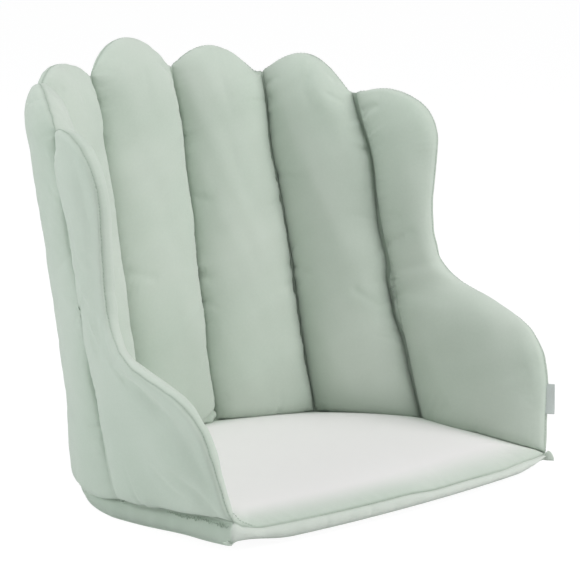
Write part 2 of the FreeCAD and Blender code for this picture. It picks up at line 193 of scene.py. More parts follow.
def new_piece(name, points, faces, grain=None, **shares):
    """Smooth mesh object with its cloth grain and any shares that its material reads."""
    mesh = bpy.data.meshes.new(name)
    mesh.from_pydata(np.asarray(points).tolist(), [], faces)
    grain = np.asarray(points if grain is None else grain, float)
    mesh.attributes.new("grain", "FLOAT_VECTOR", "POINT").data.foreach_set("vector", grain.ravel())
    for share, values in shares.items():
        mesh.attributes.new(share, "FLOAT", "POINT").data.foreach_set("value", np.asarray(values, float))
    mesh.polygons.foreach_set("use_smooth", [True] * len(mesh.polygons))
    return in_scene(name, mesh)


def quads(ids, flip=False):
    """Faces between the points of a grid of point numbers."""
    corners = [ids[:-1, :-1], ids[:-1, 1:], ids[1:, 1:], ids[1:, :-1]]
    return np.stack(corners[::-1] if flip else corners, axis=-1).reshape(-1, 4).tolist()


def shell(front, rear):
    """Points and faces of a closed pad from two grids that share their rim, and both grids' point numbers."""
    rows, columns = front.shape[:2]
    index = np.arange(rows * columns).reshape(rows, columns)
    inner = np.zeros((rows, columns), bool)
    inner[1:-1, 1:-1] = True
    rear_index = index.copy()
    rear_index[inner] = rows * columns + np.arange(inner.sum())
    points = np.concatenate([front.reshape(-1, 3), rear[inner]])
    return points, quads(index) + quads(rear_index, True), index, rear_index


def tube(rings, first=0):
    """Points and faces of a closed tube through rings of points, with flat ends."""
    rows, sides = rings.shape[:2]
    index = first + np.arange(rows * sides).reshape(rows, sides)
    following = np.roll(index, -1, axis=1)
    faces = np.stack([index[:-1], following[:-1], following[1:], index[1:]], axis=-1).reshape(-1, 4).tolist()
    faces += [index[0][::-1].tolist(), index[-1].tolist()]
    return rings.reshape(-1, 3), faces


def swept(path, radii, sides=6):
    """Rings of points round a path, each ring with its own radius."""
    ahead = unit(np.gradient(path, axis=0))
    helper = np.where(np.abs(ahead[:, 2:]) > 0.9, (1.0, 0.0, 0.0), UP)
    first = unit(np.cross(ahead, helper))
    second = np.cross(ahead, first)
    turns = np.linspace(0, 2 * math.pi, sides, endpoint=False)
    circle = first[:, None] * np.cos(turns)[None, :, None] + second[:, None] * np.sin(turns)[None, :, None]
    return path[:, None] + circle * np.broadcast_to(radii, len(path))[:, None, None]


# ---- Seat plan and channel seams ----

# Seat cushion, as the solids have it.
SEAT_TOP = 0.0172
SEAT_FRONT = -0.136
SEAT_FRONT_BOW = 0.016
SEAT_HALF_WIDTH = 0.180
SEAT_SIDE_OVERHANG = 0.0017
CROWN = 0.009

# Foot and notch of the channel seams, from the wing to the middle, as the solids have them.
SEAM_FEET = ((0.1820, 0.0070), (0.13395, 0.09795), (0.04605, 0.1360))
SEAM_NOTCHES = ((0.1720, 0.0870, 0.3061), (0.1290, 0.1619, 0.3260), (0.0470, 0.1920, 0.3310))
SEAM_FOOT_HEIGHT = 0.017
WALL_FOOT = 0.0181

# Half the room between the two cloths of seams 1 to 6.
SEAM_HALF_WIDTHS = (0.0010, 0.0012, 0.0014, 0.0008, 0.0009, 0.0029)
# How far each seam strays sideways from its straight course, in mm: height, stray, spread.
SEAM_STRAYS = {
    1: ((109, 4.0, 20), (156, -9.8, 18), (222, 4.2, 26)),
    2: ((90, 0.8, 30), (200, -0.8, 30)),
    3: ((75, -1.0, 28), (170, 0.9, 30), (265, -0.8, 22)),
    4: ((68, -2.6, 30), (140, -0.9, 30), (200, 1.4, 30), (275, 1.8, 24)),
    5: ((85, -1.5, 42), (180, -0.2, 26), (255, -3.0, 34)),
    6: ((62, -1.8, 24), (112, -5.5, 20), (140, -4.5, 14), (182, -2.4, 20), (250, 6.5, 32)),
}
# Stray of a seam's foot and how high up it fades.
SEAM_FOOT_STRAYS = {1: -0.0140}
FOOT_STRAY_RISE = 0.032
# How much lower the notch at each seam lies than on the solids.
NOTCH_DROPS = (0.0, 0.0, 0.0, 0.0, 0.004, 0.0)


def seam_ends(number):
    """Foot and notch of channel seam 1 to 6."""
    index, side = (number - 1, -1) if number <= 3 else (6 - number, 1)
    (x, y), notch = SEAM_FEET[index], SEAM_NOTCHES[index]
    return np.array([side * x, y, SEAM_FOOT_HEIGHT]), np.array([side * notch[0], notch[1], notch[2]])


def seam_at(number, heights):
    """Points of a channel seam's straight course at some heights."""
    foot, notch = seam_ends(number)
    share = (np.asarray(heights, float) - foot[2]) / (notch[2] - foot[2])
    return foot + (notch - foot) * share[..., None]


def wall_tangent(number):
    """Level direction of the wall at a channel seam, from left to right as seen from the front."""
    feet = [np.array([-SEAT_HALF_WIDTH, SEAT_FRONT, 0.0])]
    feet += [seam_ends(index)[0] * (1, 1, 0) for index in range(1, 7)]
    feet.append(np.array([SEAT_HALF_WIDTH, SEAT_FRONT, 0.0]))
    return unit(unit(feet[number] - feet[number - 1]) + unit(feet[number + 1] - feet[number]))


def seam_course(number, heights):
    """Points of a sewn channel seam, which strays a little from the straight one."""
    heights = np.asarray(heights, float)
    stray = np.zeros_like(heights)
    for height, amount, spread in SEAM_STRAYS[number]:
        stray = stray + amount * MM * bell(heights - height * MM, spread * MM)
    stray = stray * smooth((heights - WALL_FOOT) / 0.02)
    stray = stray + SEAM_FOOT_STRAYS.get(number, 0.0) * bell(heights - WALL_FOOT, FOOT_STRAY_RISE)
    return seam_at(number, heights) + wall_tangent(number) * stray[..., None]


# ---- Back channels ----

# Fullness of a channel's front and rear by height.
CHANNEL_HEIGHT_SHARES = (0.0, 0.015, 0.035, 0.07, 0.12, 0.18, 0.25, 0.42, 0.65, 0.85, 1.0)
CHANNEL_FRONT_SHARES = (0.62, 0.74, 0.84, 0.93, 1.00, 1.04, 1.05, 1.03, 1.00, 0.98, 0.98)
CHANNEL_REAR_SHARES = (1.15, 1.26, 1.28, 1.22, 1.15, 1.00, 0.88, 0.88, 0.86, 0.90, 1.05)
CHANNEL_FULL_HEIGHT = 0.306
CHANNEL_FRONT_BULGE = 0.0222
CHANNEL_REAR_BULGE = 0.0160
LOBE_CLOSE_LENGTH = 0.046
LOBE_REAR_CLOSE_LENGTH = 0.036
FOOT_CLOSE_LENGTH, FOOT_REAR_CLOSE_LENGTH = 0.013, 0.0078
FOOT_DROOP_RISE = 0.012
CHANNEL_UNEVEN, CHANNEL_UNEVEN_PITCH = 0.025, 0.09
# How far the stuffed foot hangs over the base seam: behind, and in front for each channel.
FOOT_DROOP = 0.0050
FRONT_FOOT_DROOPS = (0.0022, 0.0022, 0.0050, 0.0045, 0.0022)
CHANNEL_SUNK = 0.0013
# Above 1 the filling of a channel lies more to its right.
PILLOW_SKEWS = (1.0, 1.0, 1.05, 1.04, 1.18)

# Lobe of each channel: its height, where its peak is across, and on its left and right side how fast it
# falls and how much of that side lies level beside the notch.
LOBE_TOPS = (0.3390, 0.3458, 0.3600, 0.3478, 0.3398)
LOBE_LEAN = 0.0035
LOBE_PLACES = (0.50, 0.47, 0.50, 0.47, 0.53)
LOBE_POWERS = ((2.0, 2.0), (2.4, 2.0), (2.3, 1.9), (2.0, 1.8), (1.8, 2.3))
NOTCH_LEVELS = ((0.0, 0.0), (0.0, 0.0), (0.0, 0.04), (0.0, 0.12), (0.0, 0.05))


def cloth_grain(across, heights):
    """Places in a cloth that its weave follows: across the panel and up."""
    return np.stack(np.broadcast_arrays(across, heights, 0.0), axis=-1)


def channel_lobe(number, across):
    """Top seam of a channel's lobe, from its left notch over the peak to its right notch."""
    top, centre = LOBE_TOPS[number - 1], LOBE_PLACES[number - 1]
    peak = seam_at(number, np.array(top)) * (1 - centre) + seam_at(number + 1, np.array(top)) * centre
    peak[1] += LOBE_LEAN
    points = []
    for share in across:
        half = 0 if share <= 0.5 else 1
        seam, aside = number + half, abs(1.0 - 2.0 * share)
        notch_height = seam_ends(seam)[1][2] - NOTCH_DROPS[seam - 1]
        fall = min(1.0, aside / (1.0 - NOTCH_LEVELS[number - 1][half])) ** LOBE_POWERS[number - 1][half]
        level = seam_at(seam, np.array(top - (top - notch_height) * fall))
        points.append(level + (peak - seam_at(seam, np.array(top))) * (1.0 - aside))
    return softened(np.array(points), 1)


def channel_grid(number, rows=84, columns=31):
    """Middle surface of a channel, and each column's share of the way across."""
    across = spaced(columns)
    left, right = (seam_at(seam, np.array(WALL_FOOT)) for seam in (number, number + 1))
    feet = left * (1 - across[:, None]) + right * across[:, None]
    grid = feet + (channel_lobe(number, across) - feet) * spaced(rows, 0.45)[:, None, None]
    for seam, share in ((number, 1.0 - across), (number + 1, across)):
        stray = seam_course(seam, grid[..., 2]) - seam_at(seam, grid[..., 2])
        grid += stray * (share ** 3)[None, :, None]
    drawn = SEAM_HALF_WIDTHS[number - 1] * (1.0 - across) - SEAM_HALF_WIDTHS[number] * across
    return grid + unit(right - left) * drawn[None, :, None], across


def channel_pad(number):
    """Stuffed back channel: front and rear cloth sewn to each other round its edge."""
    grid, across = channel_grid(number)
    normals = normals_of(grid)
    rise = grid[..., 2] - WALL_FOOT
    to_lobe = np.linalg.norm(grid - grid[-1][None], axis=-1)
    uneven = 1.0 + CHANNEL_UNEVEN * ripple(40 + number, grid[..., 2], CHANNEL_UNEVEN_PITCH)
    front_share, rear_share = (
        np.interp(rise / (CHANNEL_FULL_HEIGHT - WALL_FOOT), CHANNEL_HEIGHT_SHARES, shares)
        * pillow(across ** PILLOW_SKEWS[number - 1])[None, :] * uneven
        for shares in (CHANNEL_FRONT_SHARES, CHANNEL_REAR_SHARES)
    )
    front_share *= closing(to_lobe, LOBE_CLOSE_LENGTH) * closing(rise, FOOT_CLOSE_LENGTH, 0.42)
    rear_share *= closing(to_lobe, LOBE_REAR_CLOSE_LENGTH, 0.54) * closing(rise, FOOT_REAR_CLOSE_LENGTH, 0.36)
    front = grid + normals * (CHANNEL_FRONT_BULGE * front_share)[..., None]
    rear = grid - normals * (CHANNEL_REAR_BULGE * rear_share)[..., None]
    low = bell(rise, FOOT_DROOP_RISE)
    rear[..., 2] -= FOOT_DROOP * low * smooth(rear_share / 0.9)
    front[..., 2] -= FRONT_FOOT_DROOPS[number - 1] * low * smooth(front_share / 0.8)
    seat_level = SEAT_TOP + 0.0004 + CROWN * closing(CHANNEL_FRONT_BULGE * front_share, 0.102, 0.88)
    front[..., 2] = np.maximum(front[..., 2], np.minimum(seat_level, grid[..., 2]))
    width = np.linalg.norm(grid[:, -1] - grid[:, 0], axis=-1).max()
    grain = cloth_grain(across * width, grid[..., 2])
    return dict(
        name="channel_{}_pad".format(number), front=front, rear=rear, grain=grain, free="top",
        seams=(number, number + 1), seed=100 + number, sunk=CHANNEL_SUNK, seam_shift=0.0,
    )


# ---- Wings ----

# Front edge of the wing from the seat up, in thousandths: height, depth from the front of the way to
# the rear seam, and flare.
WING_EDGE = (
    (0, 0, 36), (25, 14, 143), (60, 28, 230), (103, 43, 330), (192, 68, 571), (263, 108, 690), (294, 150, 740),
    (328, 208, 821), (349, 278, 870), (368, 365, 920), (384, 445, 950), (400, 522, 950), (416, 590, 830),
    (433, 648, 690), (460, 703, 520), (500, 738, 420), (574, 747, 357), (662, 730, 357), (741, 702, 429),
    (816, 680, 490), (867, 673, 560), (912, 686, 600), (943, 710, 590), (967, 743, 520), (985, 790, 420),
    (996, 835, 304), (1000, 881, 214),
)
WING_SEAM = 6
WING_TOP = 0.312
WING_FLARE = 0.028
WING_INNER_BULGE = 0.0165
WING_OUTER_BULGE = 0.0138
# Entry of the list above where the edge goes over into the top, and height where the rows begin to arch.
WING_CORNER = 20
WING_BEND = 0.235
# Length and fullness of the outer cloth's rounding to the free edge, and length of the inner cloth's.
WING_OUTER_EDGE = (0.052, 0.50)
WING_EDGE_SPREAD = 0.038
# Shallow valley of the outer cloth along the free edge: depth as a share, place and width.
WING_VALLEY, WING_VALLEY_PLACE, WING_VALLEY_WIDTH = 0.30, 0.013, 0.009
# How far each cloth's rounding reaches from the seam to the channel, and its fullness there.
WING_INNER_SEAM, WING_OUTER_SEAM = (0.050, 0.56), (0.034, 0.55)
# Fullness of the inner cloth's rounding to the free edge, at some heights.
WING_ROUND_HEIGHTS, WING_ROUND_FULLNESS = (0.06, 0.13, 0.17), (0.56, 0.50, 0.34)
WING_UNEVEN, WING_UNEVEN_PITCH = 0.03, 0.10
# How deep the edge seam is sunk, and how far it lies towards the outer side.
WING_SUNK = {-1: 0.0011, 1: 0.0017}
WING_SEAM_SHIFTS = {-1: 0.0008, 1: 0.0016}


def wing_outline():
    """Front edge of the right wing, from the seat to the upper corner, and its top from the notch there."""
    heights, depths, flares = np.array(WING_EDGE).T / 1000
    heights = WALL_FOOT + (WING_TOP - WALL_FOOT) * heights
    reach = seam_at(WING_SEAM, heights)[:, 1] - SEAT_FRONT
    edge = np.column_stack([SEAT_HALF_WIDTH + WING_FLARE * flares, SEAT_FRONT + reach * depths, heights])
    aside = np.linspace(1.0, 0.0, 12)[:-1]
    arch = seam_at(WING_SEAM, WING_TOP - (WING_TOP - seam_ends(WING_SEAM)[1][2]) * aside ** 2)
    arch += (edge[-1] - seam_at(WING_SEAM, np.array(WING_TOP))) * (1.0 - aside)[:, None]
    whole = softened(resampled(np.concatenate([arch, edge[::-1]]), 260), 6)
    turn = int(np.argmin(np.abs(whole[:, 2] - edge[WING_CORNER][2]) + (whole[:, 1] > 0.05) * 1.0))
    return whole[turn:][::-1], whole[:turn + 1]


def wing_grid(columns=44, lower_rows=72, upper_rows=26):
    """Middle surface of the right wing: level rows to the bend, then rows that arch up to the lobe."""
    edge, top = wing_outline()
    across = spaced(columns, 0.45)
    bend = int(np.argmin(np.abs(edge[:, 2] - WING_BEND)))
    low_edge = resampled(edge[:bend + 1], lower_rows, 0.15)
    a = across[None, :, None]
    lower = seam_at(WING_SEAM, low_edge[:, 2])[:, None] * (1 - a) + low_edge[:, None] * a
    right = resampled(edge[bend:], upper_rows)
    left = seam_at(WING_SEAM, np.linspace(low_edge[-1, 2], seam_ends(WING_SEAM)[1][2], upper_rows))
    over = resampled(top, columns, 0.45)
    over[0], over[-1] = left[-1], right[-1]
    upper = patched(left, right, lower[-1], over, across, np.linspace(0.0, 1.0, upper_rows))
    grid = np.concatenate([lower, upper[1:]])
    return relaxed(grid, 12), across, np.concatenate([edge, top[::-1][1:]])


def wing_pad(side):
    """Stuffed wing: inner and outer cloth sewn to each other along its free edge. Made as a right one."""
    grid, across, outline = wing_grid()
    number = WING_SEAM if side > 0 else 1
    left = grid[:, 0]
    stray = seam_course(number, grid[..., 2]) - seam_at(number, grid[..., 2])
    stray[..., 0] *= side
    grid = grid + stray * ((1.0 - across) ** 3)[None, :, None]
    grid += unit(grid[0, -1] - grid[0, 0]) * (SEAM_HALF_WIDTHS[number - 1] * (1.0 - across))[None, :, None]
    normals = normals_of(grid, 60)
    rise = grid[..., 2] - WALL_FOOT
    to_edge = nearest(grid, resampled(outline, 3000))[0]
    to_edge[:, -1], to_edge[-1] = 0.0, 0.0
    to_seam = np.minimum(np.linalg.norm(grid - left[:, None], axis=-1), nearest(grid, left)[0])
    uneven = 1.0 + WING_UNEVEN * ripple(60 + side, grid[..., 2], WING_UNEVEN_PITCH)
    swell = closing(rise, 0.012, 0.36) * uneven
    round_edge = np.interp(grid[..., 2], WING_ROUND_HEIGHTS, WING_ROUND_FULLNESS)
    inner = swell * closing(to_edge, WING_EDGE_SPREAD, round_edge) * closing(to_seam, *WING_INNER_SEAM)
    outer = swell * closing(to_edge, *WING_OUTER_EDGE) * closing(to_seam, *WING_OUTER_SEAM)
    outer *= 1.0 - WING_VALLEY * bell(to_edge - WING_VALLEY_PLACE, WING_VALLEY_WIDTH)
    front = grid + normals * (WING_INNER_BULGE * inner)[..., None]
    rear = grid - normals * (WING_OUTER_BULGE * outer)[..., None]
    front[..., 2] -= 0.0020 * bell(rise, 0.010) * smooth(inner / 0.6)
    grain = cloth_grain(to_seam, grid[..., 2])
    if side < 0:
        front, rear = (sheet[:, ::-1] * (-1, 1, 1) for sheet in (front, rear))
        grain = grain[:, ::-1]
    return dict(
        name="wing_{}_pad".format(SIDE_NAMES[side]), front=front, rear=rear, grain=grain, free=SIDE_NAMES[side],
        seams=(number,), seed=120 + side, sunk=WING_SUNK[side], seam_shift=WING_SEAM_SHIFTS[side],
    )


# ---- Filling and settling ----

GATHER_WIDTH = 0.013
GATHER_PITCH = 0.0062
GATHER_DEPTH = 0.0009
PULL_WIDTH = 0.0028
PULLS = 14
LUMP_DEPTH = 0.0005

# Movements of the low front corners, which begin here and grow to the front.
CORNERS_BEGIN = -0.020
RIGHT_CORNER_HANG, LEFT_CORNER_SHIFT = (0.0, 0.0, -0.0040), (-0.0026, 0.0016, 0.0)
LEFT_EDGE_CURL, LEFT_TIP_CURL = 0.0046, 0.0032

# How much longer the cloth is beside a seam than the seam that gathers it, and how far it may swell.
CLOTH_SLACK = 0.035
SWELL_CAP = 0.003
LAST_FRAME = 14
STUFFING = {
    "quality": 5, "mass": 0.2, "tension_stiffness": 25, "compression_stiffness": 25, "shear_stiffness": 8,
    "bending_stiffness": 1.5, "air_damping": 4, "use_pressure": True, "uniform_pressure_force": 6,
    "vertex_group_shrink": "gathered", "shrink_min": 0.0, "shrink_max": -CLOTH_SLACK, "vertex_group_mass": "sewn",
}


def keep_to_side(panel):
    """Hold both cloths of a panel on its own side of the planes through its channel seams."""
    middle = panel["front"].reshape(-1, 3).mean(axis=0)
    for number in panel["seams"]:
        tangent = wall_tangent(number)
        side = 1.0 if (middle - seam_at(number, np.array(middle[2]))) @ tangent > 0 else -1.0
        for cloth in ("front", "rear"):
            points = panel[cloth]
            course = seam_course(number, np.clip(points[..., 2], WALL_FOOT, None))
            distance = ((points - course) @ tangent) * side
            short = np.maximum(SEAM_HALF_WIDTHS[number - 1] * 0.35 - distance, 0.0)
            panel[cloth] = points + tangent * (side * short)[..., None]


def settle(points):
    """The low front corners as the seat stands: the right one hangs a little, the left one curls up."""
    x, y, z = (points[..., axis] for axis in range(3))
    forward = np.clip((CORNERS_BEGIN - y) / 0.116, 0, 1) ** 2
    low = smooth((0.110 - z) / 0.080)
    beside = low * smooth((np.abs(x) - 0.060) / 0.120)
    curl = smooth((CORNERS_BEGIN - y) / 0.065) * low
    hang = np.where((x > 0)[..., None], RIGHT_CORNER_HANG, LEFT_CORNER_SHIFT)
    moved = points + hang * (forward * beside)[..., None]
    moved[..., 2] += LEFT_EDGE_CURL * curl * smooth((-x - 0.152) / 0.028)
    moved[..., 2] += LEFT_TIP_CURL * beside * smooth((-0.075 - y) / 0.035) * smooth((-x - 0.172) / 0.008)
    return moved


def edge_of(index, free):
    """Point numbers along the free edge of a panel: its top, and for a wing its front edge as well."""
    if free == "top":
        return index[-1]
    if free == "right":
        return np.r_[index[:-1, -1], index[-1, ::-1]]
    return np.r_[index[:-1, 0], index[-1]]


def trial_pad(panel):
    """Closed pad that the filling swells, its seams held, and how much each point may keep of its move."""
    points, faces, index, rear_index = shell(panel["front"], panel["rear"])
    piece = new_piece("trial_pad", points, faces)
    rim = rim_of(index)
    piece.vertex_groups.new(name="sewn").add([int(point) for point in rim], 1.0, "REPLACE")
    gathered = piece.vertex_groups.new(name="gathered")
    to_edge = nearest(points, points[edge_of(index, panel["free"])])[0]
    firm, stiff = (0.4, 0.3) if panel["free"] == "top" else (0.9, 0.8)
    to_rim = nearest(points, points[np.append(rim, rim[0])])[0]
    ease = (1.0 - stiff * bell(to_edge, 0.03)) * bell(to_rim, GATHER_WIDTH)
    for point, weight in enumerate(ease):
        gathered.add([point], weight, "REPLACE")
    cloth = piece.modifiers.new("stuffing", "CLOTH")
    for name, value in STUFFING.items():
        setattr(cloth.settings, name, value)
    cloth.settings.effector_weights.gravity = 0
    cloth.collision_settings.use_collision = False
    cloth.point_cache.frame_start, cloth.point_cache.frame_end = 1, LAST_FRAME
    return panel, piece, points, index, rear_index, 1.0 - firm * bell(to_edge, 0.012)


def stuff(panels):
    """Fill closed panels by simulation, and keep each point within a cap of its start."""
    scene = bpy.context.scene
    trials = [trial_pad(panel) for panel in panels]
    for number in range(1, LAST_FRAME + 1):
        scene.frame_set(number)
    graph = bpy.context.evaluated_depsgraph_get()
    for panel, piece, start, index, rear_index, steady in trials:
        settled = piece.evaluated_get(graph)
        move = vectors_in(settled.to_mesh().vertices, "co") - start
        settled.to_mesh_clear()
        size = np.linalg.norm(move, axis=1, keepdims=True)
        points = start + move * np.minimum(1.0, SWELL_CAP / np.maximum(size, 1e-9)) * steady[:, None]
        panel["front"], panel["rear"] = points[index], points[rear_index]
    scene.frame_set(1)
    for _, piece, *_ in trials:
        mesh = piece.data
        bpy.data.objects.remove(piece)
        bpy.data.meshes.remove(mesh)


# ---- Finish of the stuffed panels ----

# Creases that the cloth keeps, in mm: from and to (across the panel, height), depth and width.
CREASES = {
    "channel_1_pad": ((0, 250, 20, 262, 1.0, 3.0),),
    "channel_2_pad": ((6, 318, 24, 326, 1.0, 3.0),),
    "channel_3_pad": (
        (94, 30, 72, 24.5, 4.2, 1.8), (94, 24, 76, 20.5, -1.6, 3.4), (88, 322, 70, 334, 1.0, 3.0),
        (4, 160, 30, 150, 0.8, 4.0),
    ),
    "channel_4_pad": ((1, 34, 12, 40, 0.5, 4.0), (96, 318, 76, 332, 1.2, 3.0), (97, 60, 74, 70, 0.5, 5.0)),
    "channel_5_pad": (
        (85, 316, 72, 330, 1.1, 2.2), (89, 298, 74, 305, 0.7, 2.8), (2, 150, 26, 142, 0.9, 4.0),
        (88, 120, 64, 134, 0.9, 4.5),
    ),
    "wing_right_pad": (
        (2, 150, 60, 166, 1.2, 6.0), (2, 132, 70, 126, 1.0, 7.0), (4, 290, 26, 296, 1.0, 3.0),
        (20, 30, 50, 40, 1.0, 5.0), (2, 176, 40, 190, 0.9, 4.5),
    ),
    "wing_left_pad": (
        (20, 180, 46, 148, 1.4, 7.0), (60, 140, 112, 104, 1.6, 9.0), (4, 290, 20, 296, 1.0, 3.0),
        (20, 240, 32, 190, 1.0, 6.0),
    ),
}
# Places of painted shade on the front cloth, in mm: across the panel, height, width, tallness; amount.
SHADES = {
    "channel_3_pad": ((70, 45, 55, 80, 0.42),),
    "channel_4_pad": ((60, 18, 80, 45, 0.26),),
    "channel_5_pad": ((45, 18, 80, 22, 0.95), (0, 60, 22, 65, 0.75)),
    "wing_right_pad": ((0, 240, 13, 60, 0.50), (0, 50, 22, 40, 0.30), (30, 18, 100, 16, 0.45)),
}
# Amount and reach of the painted shade beside a panel's left and right seam, for most and for the others.
HELD_SHADE = ((1.0, 0.0030), (1.0, 0.0030))
HELD_SHADES = {
    "channel_3_pad": ((1.0, 0.0030), (0.4, 0.0020)),
    "channel_4_pad": ((0.4, 0.0030), (0.3, 0.0020)),
    "channel_5_pad": ((0.3, 0.0030), (1.0, 0.0012)),
}
# Amount and reach of the painted shade beside the free edge seam.
EDGE_SHADE, EDGE_SHADE_REACH = 0.7, 0.0011
HALF_ACROSS = 0.05
EDGE_STRAY, EDGE_STRAY_PITCH = 0.00025, 0.012
# The rear cloth beside the widest seam swells sideways, which closes its valley from behind.
WIDE_SEAM = 6
REAR_OVERHANG = 0.0027


def gathers(seed, distance, way, pulls):
    """Inward dents of the cloth beside a seam: close small gathers, and a few longer pulls."""
    draw = np.random.default_rng(seed)
    band = smooth(distance / 0.0035) * bell(distance, GATHER_WIDTH)
    uneven = 0.5 + 0.5 * ripple(seed + 1, way, 0.05)
    dents = GATHER_DEPTH * band * uneven * (0.3 + ripple(seed + 2, way + distance * 0.15, GATHER_PITCH))
    for _ in range(pulls):
        place, slant = draw.uniform(0, way.max()), draw.uniform(-0.8, 0.8)
        length, depth = draw.uniform(0.014, 0.040), draw.uniform(0.0005, 0.0013)
        near = bell(way - place - slant * distance, PULL_WIDTH * draw.uniform(0.7, 1.5))
        dents = dents + depth * near * smooth(distance / 0.003) * smooth(1.3 - distance / length)
    return dents


def lumps(seed, grain, distance):
    """Broad uneven filling under the cloth, away from the seams."""
    slanted = grain[:, 0] * 0.8 + grain[:, 1] * 0.3
    wave = ripple(seed, slanted, 0.030) + ripple(seed + 1, grain[:, 1] - grain[:, 0] * 0.4, 0.026)
    return LUMP_DEPTH * wave * smooth(distance / 0.02)


def creased(places, start, end, width):
    """How near places lie to a crease between two of them, from 0 to 1, eased out at its ends."""
    start, line = np.array(start), np.subtract(end, start)
    share = np.clip(((places - start) @ line) / (line @ line), 0, 1)
    apart = np.linalg.norm(places - start - share[:, None] * line, axis=1)
    return bell(apart, width) * smooth(4 * (1 - share) + 0.1)


def cloth_dents(panel, is_front, grain, to_rim, to_edge):
    """How far the cloth lies below a plain stuffed pad: gathers, pulls, lumps and creases."""
    distance, way = to_rim
    seed = panel["seed"]
    eased = 1.0 - (0.5 if panel["free"] == "top" else 0.85) * bell(to_edge, 0.022)
    dents = eased * np.where(is_front, *(gathers(start, distance, way, PULLS) for start in (seed, seed + 7)))
    dents += np.where(is_front, *(lumps(start, grain, distance) for start in (seed + 11, seed + 13)))
    for crease in CREASES.get(panel["name"], ()):
        left, low, right, high, deep, width = np.array(crease) * MM
        dents += deep * creased(grain[:, :2], (left, low), (right, high), width) * smooth(distance / 0.003)
    return dents


def painted_cloth_shade(panel, is_front, grain, to_held, to_edge):
    """Painted shade on the cloth: beside its seams and free edge, and in a few places of its front."""
    amount, reach = (
        np.where(grain[:, 0] > HALF_ACROSS, right, left)
        for left, right in zip(*HELD_SHADES.get(panel["name"], HELD_SHADE))
    )
    shade = np.maximum(amount * np.exp(-to_held / reach), EDGE_SHADE * np.exp(-to_edge / EDGE_SHADE_REACH))
    for *place, deepest in SHADES.get(panel["name"], ()):
        across, height, wide, tall = np.array(place) * MM
        blot = bell(grain[:, 0] - across, wide) * bell(grain[:, 1] - height, tall)
        shade = 1.0 - (1.0 - shade) * (1.0 - deepest * blot * is_front)
    return shade


def beside_edge(points, ids, free):
    """Middle of the cloth a little inside the free edge, for each point of that edge."""
    top = points[ids[-8:-2]].mean(0)
    if free == "top":
        return top
    side = points[ids[:-1, 2:8] if free == "left" else ids[:-1, -8:-2]].mean(1)
    return np.concatenate([side, top[::-1] if free == "right" else top])


def edge_directions(points, edge, sheets, free):
    """At each point of the free edge, the ways from the rear cloth to the front one and out of the pad."""
    front_side, rear_side = (beside_edge(points, ids, free) for ids in sheets)
    thick = unit(softened(front_side - rear_side, 40))
    outward = softened(points[edge] - (front_side + rear_side) / 2, 40)
    return thick, unit(outward - (outward * thick).sum(1, keepdims=True) * thick)


def rear_overhang(panel, points):
    """Sideways swell of a panel's rear cloth beside the widest seam."""
    if WIDE_SEAM not in panel["seams"]:
        return np.zeros_like(points)
    tangent = wall_tangent(WIDE_SEAM)
    away = points - seam_course(WIDE_SEAM, points[:, 2])
    aside, behind = away @ tangent, -(away @ np.cross(tangent, UP))
    share = smooth(behind / 0.0014) * bell(np.maximum(np.abs(aside) - SEAM_HALF_WIDTHS[WIDE_SEAM - 1], 0.0), 0.006)
    share *= smooth((points[:, 2] - WALL_FOOT) / 0.012)
    share *= smooth((seam_ends(WIDE_SEAM)[1][2] - 0.003 - points[:, 2]) / 0.020)
    return -tangent * (np.sign(aside) * share * REAR_OVERHANG)[:, None]


def finish_panel(panel):
    """The pad that shows: a finer panel with its gathers, pulls, creases, sunk edge seam and painted shade."""
    points, faces, index, rear_index = shell(finer(panel["front"]), finer(panel["rear"]))
    grain = finer(panel["grain"]).reshape(-1, 3)
    grain = np.concatenate([grain, grain[rear_index.ravel() >= index.size]])
    is_front = np.arange(len(points)) < index.size
    free, seed = panel["free"], panel["seed"]
    rim, edge = rim_of(index), edge_of(index, free)
    sides = [index[:, column] for name, column in (("left", 0), ("right", -1)) if name != free]
    held = np.concatenate([index[0]] + sides)
    to_rim = nearest(points, points[np.append(rim, rim[0])])
    to_edge, edge_way = nearest(points, points[edge])
    dents = cloth_dents(panel, is_front, grain, to_rim, to_edge)
    # crease carries the painted shade that the cloth material lays on the panel.
    crease = painted_cloth_shade(panel, is_front, grain, nearest(points, points[held])[0], to_edge)
    cloth = grain * (1, 1.02, 1) + (seed * 0.13, 0, 0)
    cloth[~is_front] = cloth[~is_front] * (-1, 1, 1) + (0.37, 0.11, 0)
    piece = new_piece(panel["name"], points, faces, cloth, crease=crease)
    normals = vectors_in(piece.data.vertex_normals, "vector")
    directions = edge_directions(points, edge, (index, rear_index), free)
    towards, out = (at_ways(edge_way, ways_of(points[edge]), way) for way in directions)
    ends = smooth(np.minimum(edge_way, edge_way.max() - edge_way) / 0.010)
    sunk = panel["sunk"] * bell(to_edge, 0.0012 + panel["sunk"] * 0.5) * ends
    stray = EDGE_STRAY * ripple(seed + 17, edge_way, EDGE_STRAY_PITCH)
    stray = stray - panel["seam_shift"] * (0.35 + 0.65 * smooth((points[:, 2] - 0.125) / 0.03))
    stray = stray * bell(to_edge, 0.0045) * ends
    placed = points - normals * dents[:, None] - out * sunk[:, None] + towards * stray[:, None]
    placed[~is_front] += rear_overhang(panel, placed[~is_front])
    piece.data.vertices.foreach_set("co", placed.ravel())
    piece.data.update()
    panel["edge"], panel["outward"] = placed[edge], directions[1]
    return piece


# ---- Seams, threads and tab ----

# How far the plies of each seam reach towards the child, in mm, and how much painted shade darkens them.
SEAM_PLY_REACHES = ((1.9, 1.0), (1.9, 1.0), (1.9, 1.0), (3.6, 0.6), (3.0, 0.7), (0.8, 1.0))
# Section of the base seam's plies, in mm.
BASE_PLY = ((-0.9, -0.3), (-0.9, 0.3), (0.0, 0.55), (0.9, 0.3), (0.9, -0.3), (0.0, -0.55))
BASE_SEAM_HEIGHT = 0.0178
